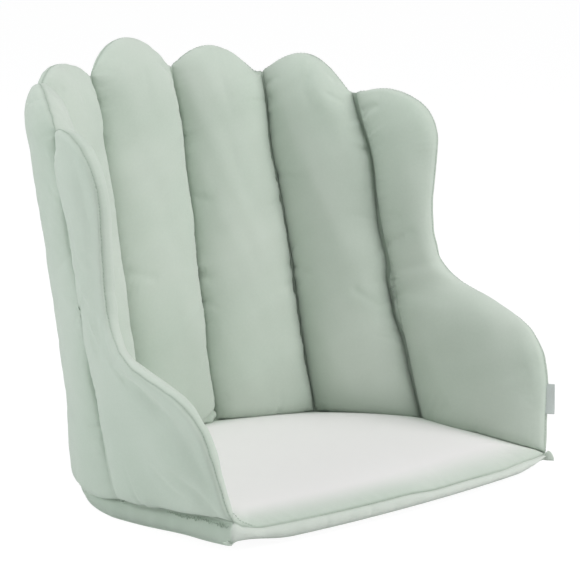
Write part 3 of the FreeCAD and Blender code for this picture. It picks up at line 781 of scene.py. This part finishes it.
# Corner plies: foot, way ahead, reach, height, and the share of the height at some shares of the reach.
CORNER_PLIES = {
    -1: ((-0.1852, -0.1275, 0.0068), (0.04, -0.99, -0.02), 0.0060, 0.0040,
         ((-0.75, 0.0, 0.5, 1.0), (0.10, 0.7, 1.0, 0.15))),
    1: ((0.1790, -0.1370, 0.0086008), (0.55, -0.83, -0.02), 0.0082, 0.0096,
        ((-0.75, -0.33, -0.05, 0.40, 0.70, 0.92, 1.0), (0.26, 0.38, 0.62, 1.0, 0.82, 0.40, 0.10))),
}
STITCH_PITCH, STITCH_LENGTH, STITCH_RADIUS, STITCH_STRAY = 0.0030, 0.0021, 0.00032, 0.0002
# Rise and thickness of a stitch along its length, in shares of its radius.
STITCH_RISES = (-0.5, 0.55, 0.85, 0.55, -0.5)
STITCH_THICKNESSES = (0.5, 0.95, 1.0, 0.95, 0.5)
OVERLOCK_START, OVERLOCK_END, OVERLOCK_PITCH, OVERLOCK_RADIUS = 0.003, 0.078, 0.0017, 0.00027
# Depth of the overlock's upper and lower turns below the base seam, and how unevenly they lie.
OVERLOCK_DOWN = (0.0026, 0.0050)
OVERLOCK_STRAY_ALONG, OVERLOCK_STRAY_DOWN = 0.0005, 0.0010
TAB_LOW, TAB_TALL, TAB_REACH = 0.046, 0.025, 0.0078
TAB_HALF_THICKNESS = 0.00055


def sidewards(path):
    """Level directions square to a path, to its right."""
    return unit(np.cross(unit(np.gradient(path, axis=0)), UP))


def ply(name, path, aside, outward, section, shade=None):
    """Piece with the same section all along a path: pairs of how far aside and how far out its corners lie."""
    rings = [path + aside * across + outward * np.reshape(out, (-1, 1)) for across, out in section]
    points, faces = tube(np.stack(rings, axis=1))
    # A given shade is painted shade, carried as the piece's crease share.
    return new_piece(name, points, faces, **({} if shade is None else {"crease": np.full(len(points), shade)}))


def seam_ply(number):
    """The plies of cloth sewn together between two panels, from the seat up to the notch."""
    notch = seam_ends(number)[1]
    heights = np.linspace(WALL_FOOT - 0.001, notch[2] - NOTCH_DROPS[number - 1] - 0.001, 90)
    course, tangent = seam_course(number, heights), wall_tangent(number)
    half_width = SEAM_HALF_WIDTHS[number - 1] * 1.25
    gathered = MM * (1.0 + 0.25 * ripple(80 + number, heights, 0.006))
    # The seam's shade is painted shade that darkens its plies in the gap.
    reach, shade = SEAM_PLY_REACHES[number - 1]
    ends = smooth((heights - WALL_FOOT - 0.004) / 0.030) * smooth((heights[-1] - 0.012 - heights) / 0.050)
    reach = 1.0 + (reach - 1.0) * ends
    section = ((-1, -1.3), (0, -1.9), (1, -1.3), (1, reach - 0.6), (0, reach), (-1, reach - 0.6))
    outward = np.cross(tangent, UP) * gathered[:, None]
    return ply("seam_{}_ply".format(number), course, tangent * half_width, outward, section, shade)


def stitch_row(name, path, outward, seed):
    """Row of single stitches along a seam: each sinks into the cloth at both ends."""
    draw = np.random.default_rng(seed)
    ways = ways_of(path)
    points, faces, total = [], [], 0
    for place in np.arange(STITCH_PITCH, ways[-1] - STITCH_PITCH, STITCH_PITCH):
        place += draw.uniform(-STITCH_STRAY, STITCH_STRAY)
        line = at_ways(place + STITCH_LENGTH * np.linspace(-0.5, 0.5, 5), ways, path)
        line += unit(at_ways(place, ways, outward)) * (np.array(STITCH_RISES) * STITCH_RADIUS)[:, None]
        made, sides = tube(swept(line, np.array(STITCH_THICKNESSES) * STITCH_RADIUS), total)
        points.append(made)
        faces += sides
        total += len(made)
    return new_piece(name, np.concatenate(points), faces)


def wall_foot_path(count=220):
    """The line where the wall is sewn to the seat, from the front left corner round the back to the right."""
    _, rear, left, right = seat_sides(0.0)
    line = np.concatenate([left, rear[1:-1], right[::-1]])
    return resampled(np.column_stack([line, np.full(len(line), BASE_SEAM_HEIGHT)]), count)


def base_seam_ply():
    """Narrow plies where the wall is sewn to the seat, drawn in between the two."""
    path = settle(wall_foot_path())
    # The full shade of 1.0 is painted shade on these plies, for the shade in the joint.
    return ply("base_seam_ply", path, sidewards(path) * MM, UP * MM, BASE_PLY, 1.0)


def overlock(side, seed):
    """Zigzag thread over the cut edge that shows on the side strip, close behind the front corner."""
    path = wall_foot_path(900)[::-side]
    draw = np.random.default_rng(seed)
    turns = np.arange(OVERLOCK_START, OVERLOCK_END, OVERLOCK_PITCH)
    turns = turns + draw.uniform(-OVERLOCK_STRAY_ALONG, OVERLOCK_STRAY_ALONG, len(turns))
    down = np.where(np.arange(len(turns)) % 2 == 0, *OVERLOCK_DOWN)
    down += draw.uniform(-OVERLOCK_STRAY_DOWN, OVERLOCK_STRAY_DOWN, len(turns))
    down *= 1.0 - 0.5 * smooth((turns - 0.035) / 0.045)
    line = at_ways(turns, ways_of(path), path)
    outward = sidewards(line) * side
    out = SEAT_SIDE_OVERHANG + np.interp(down, (0.0, 0.0025, 0.0065), (0.0008, 0.0022, 0.0034))
    line = settle(line + outward * out[:, None] - UP * down[:, None])
    points, faces = tube(swept(resampled(line, len(line) * 4), OVERLOCK_RADIUS, 5))
    return new_piece("overlock_" + SIDE_NAMES[side], points, faces)


def corner_ply(side):
    """Folded end of the seam allowances that stands out at a front corner of the seat."""
    foot, ahead, reach, tall, shares = CORNER_PLIES[side]
    ahead = unit(np.array(ahead))
    aside = unit(np.cross(ahead, UP))
    along, up = np.linspace(-0.75, 1.0, 21), np.linspace(-1.0, 1.0, 13)
    height = tall * np.interp(along, *shares)
    middle = foot + ahead * (along * reach)[:, None] + aside * (0.0008 * np.sin(along * 4.0))[:, None]
    sheet = middle[:, None] + UP * (height[:, None] * (0.5 + 0.5 * up[None, :]))[..., None]
    puff = 0.0012 * (1 - up ** 4)[None, :] * np.clip(1.15 - np.abs(along * 0.9), 0.1, 1)[:, None]
    puff[0], puff[-1] = 0, 0
    points, faces, *_ = shell(sheet + aside * puff[..., None], sheet - aside * puff[..., None])
    piece = new_piece("corner_ply_" + SIDE_NAMES[side], points, faces)
    piece.modifiers.new("finer", "SUBSURF").render_levels = 1
    return piece


def ribbon_tab(edge, count=40):
    """Bare folded ribbon, sewn into the front seam of the right wing."""
    edge = edge[edge[:, 2] < 0.110]
    low, high = (at_ways(height, edge[:, 2], softened(edge, 60)) for height in (TAB_LOW, TAB_LOW + TAB_TALL))
    root = low + (high - low) * np.linspace(0, 1, count)[:, None]
    forward = unit(np.array([0.50, -0.87, 0.0]))
    aside = np.array([-forward[1], forward[0], 0.0])
    half = TAB_HALF_THICKNESS
    bend = TAB_REACH - half
    outline = [(-0.003, -half)] + [(bend * share, -half) for share in (0.2, 0.5, 0.8)]
    outline += [
        (bend + half * math.cos(turn), half * math.sin(turn)) for turn in np.linspace(-math.pi / 2, math.pi / 2, 9)
    ]
    outline += [(bend * share, half) for share in (0.8, 0.5, 0.2)] + [(-0.003, half)]
    outline += [(-0.003, half * 0.25), (bend * 0.9, half * 0.2), (bend * 0.9, -half * 0.2), (-0.003, -half * 0.25)]
    lean = 0.0005 * np.sin(np.linspace(0.3, 5.0, count))
    section = [(ahead, across + lean * (max(ahead, 0.0) / TAB_REACH)) for ahead, across in outline]
    return ply("ribbon_tab", root, forward, aside, section)


# ---- Seat cushion ----

# Painted shade beside the seams of the top cloth and the band: amount, and its reach on either; the least painted
# shade away from the front; how far the front band takes the painted light of the top, and over what reach the top
# turns to it.
SEAT_SEAM_SHADE, TOP_SHADE_REACH, BAND_SHADE_REACH = 0.8, 0.0012, 0.0010
LEAST_BAND_SHADE = 0.34
PAINTED_LIGHT_BAND_SHARE, PAINTED_LIGHT_TOP_REACH = 0.22, 0.038
# Small tucks of the front band: place and depth in mm.
BAND_TUCKS = ((-96, 1.0), (-50, 1.0), (30, 0.6), (112, 0.7))
# Rings of the band from the top seam down: share of its height, and how far it stands out in mm.
BAND_RINGS = (
    (0.05, -1.2), (0.10, 0.2), (0.16, 1.2), (0.26, 2.0), (0.40, 2.7), (0.56, 2.9), (0.70, 2.4), (0.82, 1.4),
    (0.91, 0.2), (0.97, -1.0),
)


def circle_through(first, second, third):
    """Centre and radius of the level circle through three points."""
    ends = np.array([second @ second - first @ first, third @ third - first @ first])
    centre = np.linalg.solve(2 * np.array([second - first, third - first]), ends)
    return centre, np.linalg.norm(first - centre)


def arc_points(first, second, third, count):
    """Level points along the arc through three points."""
    centre, radius = circle_through(first, second, third)
    start, _, end = np.unwrap([math.atan2(*(point - centre)[::-1]) for point in (first, second, third)])
    turns = np.linspace(start, end, count)
    return np.stack([centre[0] + radius * np.cos(turns), centre[1] + radius * np.sin(turns)], axis=1)


def seat_sides(overhang):
    """The four sides of the seat's plan: front and rear from left to right, left and right from front."""
    feet = [np.array(foot) for foot in SEAM_FEET]
    centre, radius = circle_through(*feet)
    feet = [centre + (foot - centre) * ((radius + overhang) / radius) for foot in feet]
    corner = np.array([SEAT_HALF_WIDTH + overhang, SEAT_FRONT])
    front = arc_points(corner * (-1, 1), np.array([0.0, SEAT_FRONT - SEAT_FRONT_BOW]), corner, 60)
    side = np.concatenate([np.linspace(corner, feet[0], 50)[:-1], arc_points(*feet, 60)])
    rear = arc_points(feet[2] * (-1, 1), np.array([0.0, feet[2][1] + 0.003]), feet[2], 30)
    split = int(len(side) * 0.80)
    right = side[:split]
    rear = np.concatenate([side[split - 1:][:-1] * (-1, 1), rear, side[split - 1:][::-1][1:]])
    return front, rear, right * (-1, 1), right


def plan_grid(sides, rows, columns):
    """Level grid inside four sides."""
    front, rear, left, right = (
        resampled(np.column_stack([side, np.zeros(len(side))]), count, 0.3)
        for side, count in zip(sides, (columns, columns, rows, rows))
    )
    return patched(left, right, front, rear, spaced(columns, 0.3), spaced(rows, 0.3))


def seat_top_heights(x, y, to_rim, to_front):
    """Height of the seat's top cloth: crown, uneven filling, gathers and a dip behind the front seam."""
    rearward = smooth((y - 0.030) / 0.070)
    crown = closing(np.clip(to_rim - 0.0006, 0, None), 0.072 + 0.030 * rearward, 0.52 + 0.36 * rearward)
    heights = SEAT_TOP + CROWN * crown
    heights += 0.0006 * ripple(7, x * 1.3 + y * 0.4, 0.11) * smooth(to_rim / 0.05)
    heights -= 0.7 * gathers(31, to_front, x + 0.2, 10)
    dip = smooth(1.0 - to_front / 0.03) * smooth((x + 0.010) / 0.040) * smooth((0.150 - x) / 0.040)
    return heights - 0.0024 * dip


def seat_low_heights(x, y, to_front):
    """Height of the seat's underside, which rises to the front, to its corners and along the left strip."""
    heights = 0.006 * (np.clip((SEAT_FRONT - SEAT_FRONT_BOW + 0.100 - y) / 0.100, 0, 1) ** 2)
    to_corner = np.hypot(np.abs(x) - SEAT_HALF_WIDTH, y - SEAT_FRONT)
    heights += np.where(x > 0, 0.0042, 0.0012) * smooth(1.0 - to_corner / 0.045)
    heights += np.where(x > 0, 0.0034, 0.0) * smooth(1.0 - to_corner / 0.024)
    from_left = x + SEAT_HALF_WIDTH
    heights += 0.0030 * bell(y + 0.078, 0.040) * smooth(1.0 - from_left / 0.03)
    tuck = 1.0 - smooth(1.0 - from_left / 0.004) * smooth(to_front / 0.005)
    return heights + 0.0040 * tuck * smooth((0.055 - from_left) / 0.045) * smooth(1.0 - to_front / 0.03)


def band_rings(rim_top, rim_low, outward, around, on_front):
    """Rings of points down the edge band, which swells between its two seams."""
    rings = []
    for share, out in BAND_RINGS:
        ring = rim_top * (1 - share) + rim_low * share
        puff = out * MM + 0.0005 * ripple(33, around, 0.011) * (1 - (2 * share - 1) ** 2)
        for place, depth in BAND_TUCKS:
            puff -= depth * MM * bell(ring[:, 0] - place * MM, 0.0013) * on_front
        ring[:, :2] += outward * puff[:, None]
        rings.append(ring)
    return rings


def seat_pad(rows=96, columns=168):
    """Seat cushion: crowned top cloth, edge band with its two seams, and the cloth underneath."""
    plan = plan_grid(seat_sides(SEAT_SIDE_OVERHANG), rows, columns)
    x, y, rim = plan[..., 0], plan[..., 1], rim_of(plan)
    to_rim = nearest(plan, resampled(np.concatenate([rim, rim[:1]]), 2400))[0]
    to_front = nearest(plan, resampled(rim[:columns], 900))[0]
    top = settle(np.dstack([x, y, seat_top_heights(x, y, to_rim, to_front)]))
    low = np.dstack([top[..., :2], seat_low_heights(x, y, to_front)])
    rim_top, around = rim_of(top), ways_of(rim)
    outward = np.roll(rim, -1, 0) - np.roll(rim, 1, 0)
    outward = unit(np.stack([outward[:, 1], -outward[:, 0]], axis=1))
    on_front = np.arange(len(rim)) < columns
    band = band_rings(rim_top, rim_of(low), outward, around, on_front)
    points = np.concatenate([top.reshape(-1, 3), low.reshape(-1, 3)] + band)

    sheet, count = rows * columns, len(rim)
    parts = [slice(2 * sheet + count * ring, 2 * sheet + count * (ring + 1)) for ring in range(len(band))]
    top_ids = np.arange(sheet).reshape(rows, columns)
    rings = [rim_of(top_ids)] + [np.arange(part.start, part.stop) for part in parts] + [rim_of(top_ids + sheet)]
    faces = quads(top_ids) + quads(top_ids + sheet, True)
    for upper, lower in zip(rings, rings[1:]):
        faces += np.stack([upper, lower, np.roll(lower, -1), np.roll(upper, -1)], axis=1).tolist()

    grain = points * 1.0
    # inside is painted light: a paler top away from its rim and a paler front band. crease is painted shade beside
    # the seams and on the side band.
    inside, crease = np.zeros((2, len(points)))
    inside[:sheet] = smooth(to_rim.ravel() / PAINTED_LIGHT_TOP_REACH)
    crease[:sheet] = SEAT_SEAM_SHADE * np.exp(-to_rim.ravel() / TOP_SHADE_REACH)
    for part, (share, _) in zip(parts, BAND_RINGS):
        grain[part, 0], grain[part, 1] = around, points[part, 2] + 0.5
        inside[part] = PAINTED_LIGHT_BAND_SHARE * on_front
        to_seam = min(share, 1.0 - share) * SEAT_TOP
        least = np.where(on_front, 0.0, LEAST_BAND_SHADE)
        crease[part] = np.maximum(SEAT_SEAM_SHADE * math.exp(-to_seam / BAND_SHADE_REACH), least)
    piece = new_piece("seat_pad", points, faces, grain, inside=inside, crease=crease)
    piece.modifiers.new("finer", "SUBSURF").render_levels = 1
    return piece, settle(rim_top[1:columns - 1]), outward[1:columns - 1]


# ---- Materials ----


class Wire:
    """A node socket that Python arithmetic can build on."""

    def __init__(self, tree, socket):
        self.tree, self.socket = tree, socket

    def node(self, kind, inputs=None, output=0, **settings):
        """Add a node: its settings first, then values or links for its sockets."""
        made = self.tree.nodes.new(kind)
        for name, value in settings.items():
            setattr(made, name, value)
        for name, value in (inputs or {}).items():
            if isinstance(value, Wire):
                self.tree.links.new(value.socket, made.inputs[name])
            else:
                made.inputs[name].default_value = value
        return Wire(self.tree, made.outputs[output])

    def maths(self, operation, first, second=0.0):
        return self.node("ShaderNodeMath", {0: first, 1: second}, operation=operation)

    def __add__(self, other): return self.maths("ADD", self, other)
    def __radd__(self, other): return self.maths("ADD", other, self)
    def __sub__(self, other): return self.maths("SUBTRACT", self, other)
    def __rsub__(self, other): return self.maths("SUBTRACT", other, self)
    def __mul__(self, other): return self.maths("MULTIPLY", self, other)
    def __rmul__(self, other): return self.maths("MULTIPLY", other, self)

    def beside(self, output):
        """Another output of the same node."""
        return Wire(self.tree, self.socket.node.outputs[output])

    def eased(self, low, high):
        """0 below low, 1 above high, and a smooth step between."""
        return self.node("ShaderNodeMapRange", {0: self, 1: low, 2: high}, interpolation_type="SMOOTHSTEP")

    def blend(self, first, second):
        """Colour between two, by this share."""
        return self.node("ShaderNodeMix", {0: self, 6: first, 7: second}, output=2, data_type="RGBA")

    def noise(self, scale, detail, roughness=0.5):
        """Cloudy noise at this place."""
        return self.node("ShaderNodeTexNoise", {
            "Vector": self, "Scale": scale, "Detail": detail, "Roughness": roughness,
        })

    def feed(self, shader, socket):
        """Lead this value to a socket of a shader."""
        self.tree.links.new(self.socket, shader.inputs[socket])

    def emboss(self, shader, strength, distance):
        """Let this height show as the shader's relief."""
        sockets = {"Height": self, "Strength": strength, "Distance": distance}
        self.node("ShaderNodeBump", sockets).feed(shader, "Normal")


def linear(red, green, blue):
    """Scene colour of an 8-bit screen colour."""
    shares = np.array([red, green, blue]) / 255.0
    return (*np.where(shares <= 0.04045, shares / 12.92, ((shares + 0.055) / 1.055) ** 2.4).tolist(), 1.0)


WALL_COLOUR, WALL_DEEP_COLOUR, WALL_PALE_COLOUR = linear(204, 215, 203), linear(194, 208, 194), linear(224, 231, 222)
# Near-white painted light on the seat's top and front band, where light falls on them.
PAINTED_SEAT_LIGHT_COLOUR = linear(244, 242, 241)
# Strength and colour of the painted shade that a piece's crease share lays on its cloth.
CREASE_SHADE = 0.58
PAINTED_SHADE_COLOUR = linear(132, 150, 133)
SAGE_THREAD_COLOURS = (linear(150, 168, 152), linear(190, 204, 190))
# The overlock thread is darker than the sewing thread as painted shade, for the shade it lies in at the wall's foot.
PAINTED_SHADE_OVERLOCK_COLOURS = (linear(122, 140, 123), linear(178, 194, 178))
RIBBON_COLOURS = (linear(186, 196, 192), linear(220, 226, 223))
THREAD_PITCH = 0.00062
RIB_PITCH = 0.0007


def new_material(name, sockets):
    """Empty material with its shader's plain values: the material, its shader and a wire to build from."""
    material = bpy.data.materials.new(name)
    material.use_nodes = True
    shader = material.node_tree.nodes["Principled BSDF"]
    for socket, value in sockets.items():
        shader.inputs[socket].default_value = value
    return material, shader, Wire(material.node_tree, None)


def cloth_material(name, painted_seat_light=False):
    """Finely woven cotton: two threads that cross, slubs, soft mottling, a faint bloom, painted shade and, on the
    seat, painted light.
    """
    material, shader, wire = new_material(name, {
        "Sheen Weight": 0.36, "Sheen Roughness": 0.6, "Specular IOR Level": 0.25,
    })
    grain = wire.node("ShaderNodeAttribute", attribute_name="grain", output=1)
    east = wire.node("ShaderNodeSeparateXYZ", {0: grain})
    bend = (grain.noise(900.0, 2.0) - 0.5) * 2.4
    warp, weft = (wire.maths("SINE", way * (2 * math.pi / THREAD_PITCH) + bend) for way in (east, east.beside(1)))
    weave = wire.maths("ABSOLUTE", warp) + wire.maths("ABSOLUTE", weft) * 0.9
    slub, fluff, cloud = grain.noise(420.0, 4.0), grain.noise(90.0, 5.0, 0.6), grain.noise(9.0, 3.0)
    base = cloud.eased(0.30, 0.72).blend(WALL_DEEP_COLOUR, WALL_COLOUR)
    fleck = (slub.eased(0.35, 0.75) * 0.5 + weave.eased(0.4, 1.7) * 0.5) * 0.16
    base = fleck.blend(base, WALL_PALE_COLOUR)
    # Painted light: the seat's top and front band turn paler by their inside share.
    if painted_seat_light:
        base = wire.node("ShaderNodeAttribute", attribute_name="inside", output=2).blend(base, PAINTED_SEAT_LIGHT_COLOUR)
    # Painted shade: the crease share darkens the cloth towards the painted shade colour.
    crease = wire.node("ShaderNodeAttribute", attribute_name="crease", output=2)
    (crease * CREASE_SHADE).blend(base, PAINTED_SHADE_COLOUR).feed(shader, "Base Color")
    (0.82 + fluff * 0.14).feed(shader, "Roughness")
    (weave * 0.5 + slub * 0.8 + fluff * 1.6).emboss(shader, 0.30, 0.00025)
    return material


def thread_material(name, dark, light):
    """Sewing thread, a little darker than the cloth, with its twist."""
    material, shader, wire = new_material(name, {"Roughness": 0.6, "Sheen Weight": 0.15})
    strand = wire.node("ShaderNodeTexCoord", output=3).noise(2400.0, 2.0)
    strand.eased(0.3, 0.7).blend(dark, light).feed(shader, "Base Color")
    strand.emboss(shader, 0.4, 0.0001)
    return material


def ribbon_material(name):
    """Pale ribbon with close cross ribs between its strands."""
    material, shader, wire = new_material(name, {"Roughness": 0.55, "Sheen Weight": 0.2})
    place = wire.node("ShaderNodeTexCoord", output=3)
    upward = wire.node("ShaderNodeSeparateXYZ", {0: place}).beside(2)
    ribs = wire.maths("SINE", upward * (2 * math.pi / RIB_PITCH))
    strands = place.noise(1800.0, 3.0)
    (ribs.eased(-1.0, 1.0) * 0.5 + strands * 0.5).blend(*RIBBON_COLOURS).feed(shader, "Base Color")
    (ribs * 0.6 + strands * 0.6).emboss(shader, 0.5, 0.0002)
    return material


# ---- Stage and camera ----

FLOOR_REACH, FLOOR_HEIGHT = 6.0, -0.0006
FLOOR_GLOW, FLOOR_GLOW_SHARE = 1.105, 0.86
WHITE = (1.0, 1.0, 1.0, 1.0)
LAMP_AIM = (0.0, 0.0, 0.13)
LAMP_SIZE = 1.2
# Place, power in watts and colour of each lamp.
LAMPS = {
    "key_lamp": ((1.2, -1.9, 1.3), 21.0, (1.0, 0.99, 0.98)),
    "front_lamp": ((0.0, -1.6, 1.9), 13.0, (1.0, 1.0, 1.0)),
    "top_lamp": ((-0.1, 0.1, 2.2), 10.5, (1.0, 0.97, 1.0)),
    "rear_left_lamp": ((-1.7, 1.0, 0.8), 16.5, (0.95, 1.0, 0.98)),
}
# Camera, in radians and metres, with its focal length and the middle of its view in pixels of a
# picture 580 wide.
CAMERA_AZIMUTH, CAMERA_ELEVATION, CAMERA_DISTANCE = 0.76470, 0.19849, 2.44026
CAMERA_AIM = (0.0, 0.014, 0.167)
FOCAL_PIXELS, PICTURE_WIDTH, VIEW_MIDDLE = 2900.0, 580.0, (18.06, 6.97)
SENSOR_WIDTH = 36.0


def plain_to_sight(wire):
    """1 for rays of sight, also by gloss or through glass, which see the stage plain white."""
    rays = wire.node("ShaderNodeLightPath")
    lit = wire.maths("MAXIMUM", rays, rays.beside("Is Glossy Ray"))
    return wire.maths("MAXIMUM", lit, rays.beside("Is Transmission Ray"))


def point_at(thing, place, ahead):
    """Put a lamp or the camera in its place and turn it to look ahead."""
    thing.location = place
    thing.rotation_mode = "QUATERNION"
    thing.rotation_quaternion = Vector(ahead).to_track_quat("-Z", "Y")


def lay_floor():
    """Pale floor that stays white to the camera but keeps a soft shadow."""
    mesh = bpy.data.meshes.new("studio_floor")
    corners = [(x * FLOOR_REACH, y * FLOOR_REACH, FLOOR_HEIGHT) for x, y in ((-1, -1), (1, -1), (1, 1), (-1, 1))]
    mesh.from_pydata(corners, [], [(0, 1, 2, 3)])
    in_scene("studio_floor", mesh)
    material, shader, wire = new_material("studio_white", {
        "Base Color": (0.82, 0.82, 0.82, 1.0), "Roughness": 0.9, "Specular IOR Level": 0.0,
    })
    share = plain_to_sight(wire) * FLOOR_GLOW_SHARE
    glow = wire.node("ShaderNodeEmission", {"Color": WHITE, "Strength": FLOOR_GLOW})
    mixed = wire.node("ShaderNodeMixShader", {0: share, 1: Wire(wire.tree, shader.outputs[0]), 2: glow})
    mixed.feed(wire.tree.nodes["Material Output"], "Surface")
    mesh.materials.append(material)


def light_the_stage():
    """Faint even air that looks white to the camera, and four soft lamps."""
    world = bpy.data.worlds.new("studio_air")
    bpy.context.scene.world = world
    world.use_nodes = True
    tree = world.node_tree
    wire = Wire(tree, None)
    air = wire.node("ShaderNodeBackground", {"Color": (0.96, 0.98, 1.0, 1.0), "Strength": 0.32})
    white = wire.node("ShaderNodeBackground", {"Color": WHITE, "Strength": 1.0})
    shown = wire.node("ShaderNodeMixShader", {0: plain_to_sight(wire), 1: air, 2: white})
    shown.feed(tree.nodes["World Output"], "Surface")
    tree.nodes.remove(tree.nodes["Background"])
    for name, (place, power, colour) in LAMPS.items():
        lamp = bpy.data.lights.new(name, "AREA")
        lamp.shape = "SQUARE"
        lamp.size, lamp.energy, lamp.color = LAMP_SIZE, power, colour
        point_at(in_scene(name, lamp), place, np.subtract(LAMP_AIM, place))


def set_camera():
    """Camera at the photograph's place and angle."""
    east, north = math.sin(CAMERA_AZIMUTH), math.cos(CAMERA_AZIMUTH)
    level, down = math.cos(CAMERA_ELEVATION), math.sin(CAMERA_ELEVATION)
    ahead = np.array([east * level, north * level, -down])
    rightward = np.array([north, -east, 0.0])
    upward = np.cross(rightward, ahead)
    place = np.array(CAMERA_AIM) - ahead * CAMERA_DISTANCE
    data = bpy.data.cameras.new("camera")
    data.sensor_width = SENSOR_WIDTH
    data.lens = SENSOR_WIDTH * FOCAL_PIXELS / PICTURE_WIDTH
    data.clip_start, data.clip_end = 0.1, 50.0
    camera = in_scene("camera", data)
    aside, above = VIEW_MIDDLE
    point_at(camera, place, unit(ahead + rightward * (aside / FOCAL_PIXELS) - upward * (above / FOCAL_PIXELS)))
    bpy.context.scene.camera = camera


# ---- The whole seat ----


def dress(piece, material, slot, *nodes, fill=None):
    """Give a piece its cloth and its place on the body, and hide the solids that it stands for."""
    piece.data.materials.append(material)
    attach(piece, BODY)
    if nodes:
        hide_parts(*nodes)


def stuffed_panels():
    """The back channels and the wings, filled and settled."""
    channels = [channel_pad(number) for number in range(1, 6)]
    wings = [wing_pad(side) for side in SIDE_NAMES]
    panels = channels + wings
    for panel in panels:
        keep_to_side(panel)
    stuff(panels)
    for panel in panels:
        keep_to_side(panel)
    for panel in panels:
        panel["front"], panel["rear"] = settle(panel["front"]), settle(panel["rear"])
    return channels, wings


def build():
    """Make every piece, fill the panels and set the stage."""
    wall_cloth = cloth_material("wall_cotton")
    seat_cloth = cloth_material("seat_cotton", painted_seat_light=True)
    thread = thread_material("sage_thread", *SAGE_THREAD_COLOURS)
    cut_thread = thread_material("overlock_thread", *PAINTED_SHADE_OVERLOCK_COLOURS)
    channels, wings = stuffed_panels()
    for group, kinds, fill, seeds in (
        (channels, ("front_cover", "rear_cover", "fill"), 0.85, (1, 2, 3, 4, 5)),
        (wings, ("inner_cover", "outer_cover", "fill"), 0.8, (4, 5)),
    ):
        for panel, seed in zip(group, seeds):
            name = panel["name"].replace("_pad", "")
            nodes = ["{}_{}".format(name, kind) for kind in kinds]
            dress(finish_panel(panel), wall_cloth, "wall_fabric", *nodes, fill=fill)
            row = stitch_row(name + "_stitches", panel["edge"], panel["outward"], seed)
            dress(row, thread, "seam_cloth")
    seat, front_seam, outward = seat_pad()
    covers = ["seat_{}".format(kind) for kind in (
        "top_cover", "bottom_cover", "front_band", "left_band", "right_band", "rear_band", "foam",
    )]
    dress(seat, seat_cloth, "seat_fabric", *covers, fill=0.9)
    lifted = np.column_stack([outward * 0.7, np.full(len(outward), 0.7)])
    seam = front_seam + np.column_stack([-outward * 0.0006, np.full(len(outward), 0.0001)])
    dress(stitch_row("seat_stitches", seam, lifted, 21), thread, "seam_cloth")
    for number in range(1, 7):
        dress(seam_ply(number), wall_cloth, "seam_cloth", "channel_seam_{}".format(number))
    dress(base_seam_ply(), wall_cloth, "seam_cloth", "wall_base_seam")
    for side in SIDE_NAMES:
        dress(overlock(side, 50 + side), cut_thread, "seam_cloth")
        dress(corner_ply(side), wall_cloth, "seam_cloth")
    dress(ribbon_tab(wings[1]["edge"]), ribbon_material("tab_ribbon_weave"), "tab_ribbon", "side_tab")
    lay_floor()
    light_the_stage()
    set_camera()


build()
bpy.context.scene.view_settings.view_transform = "Standard"
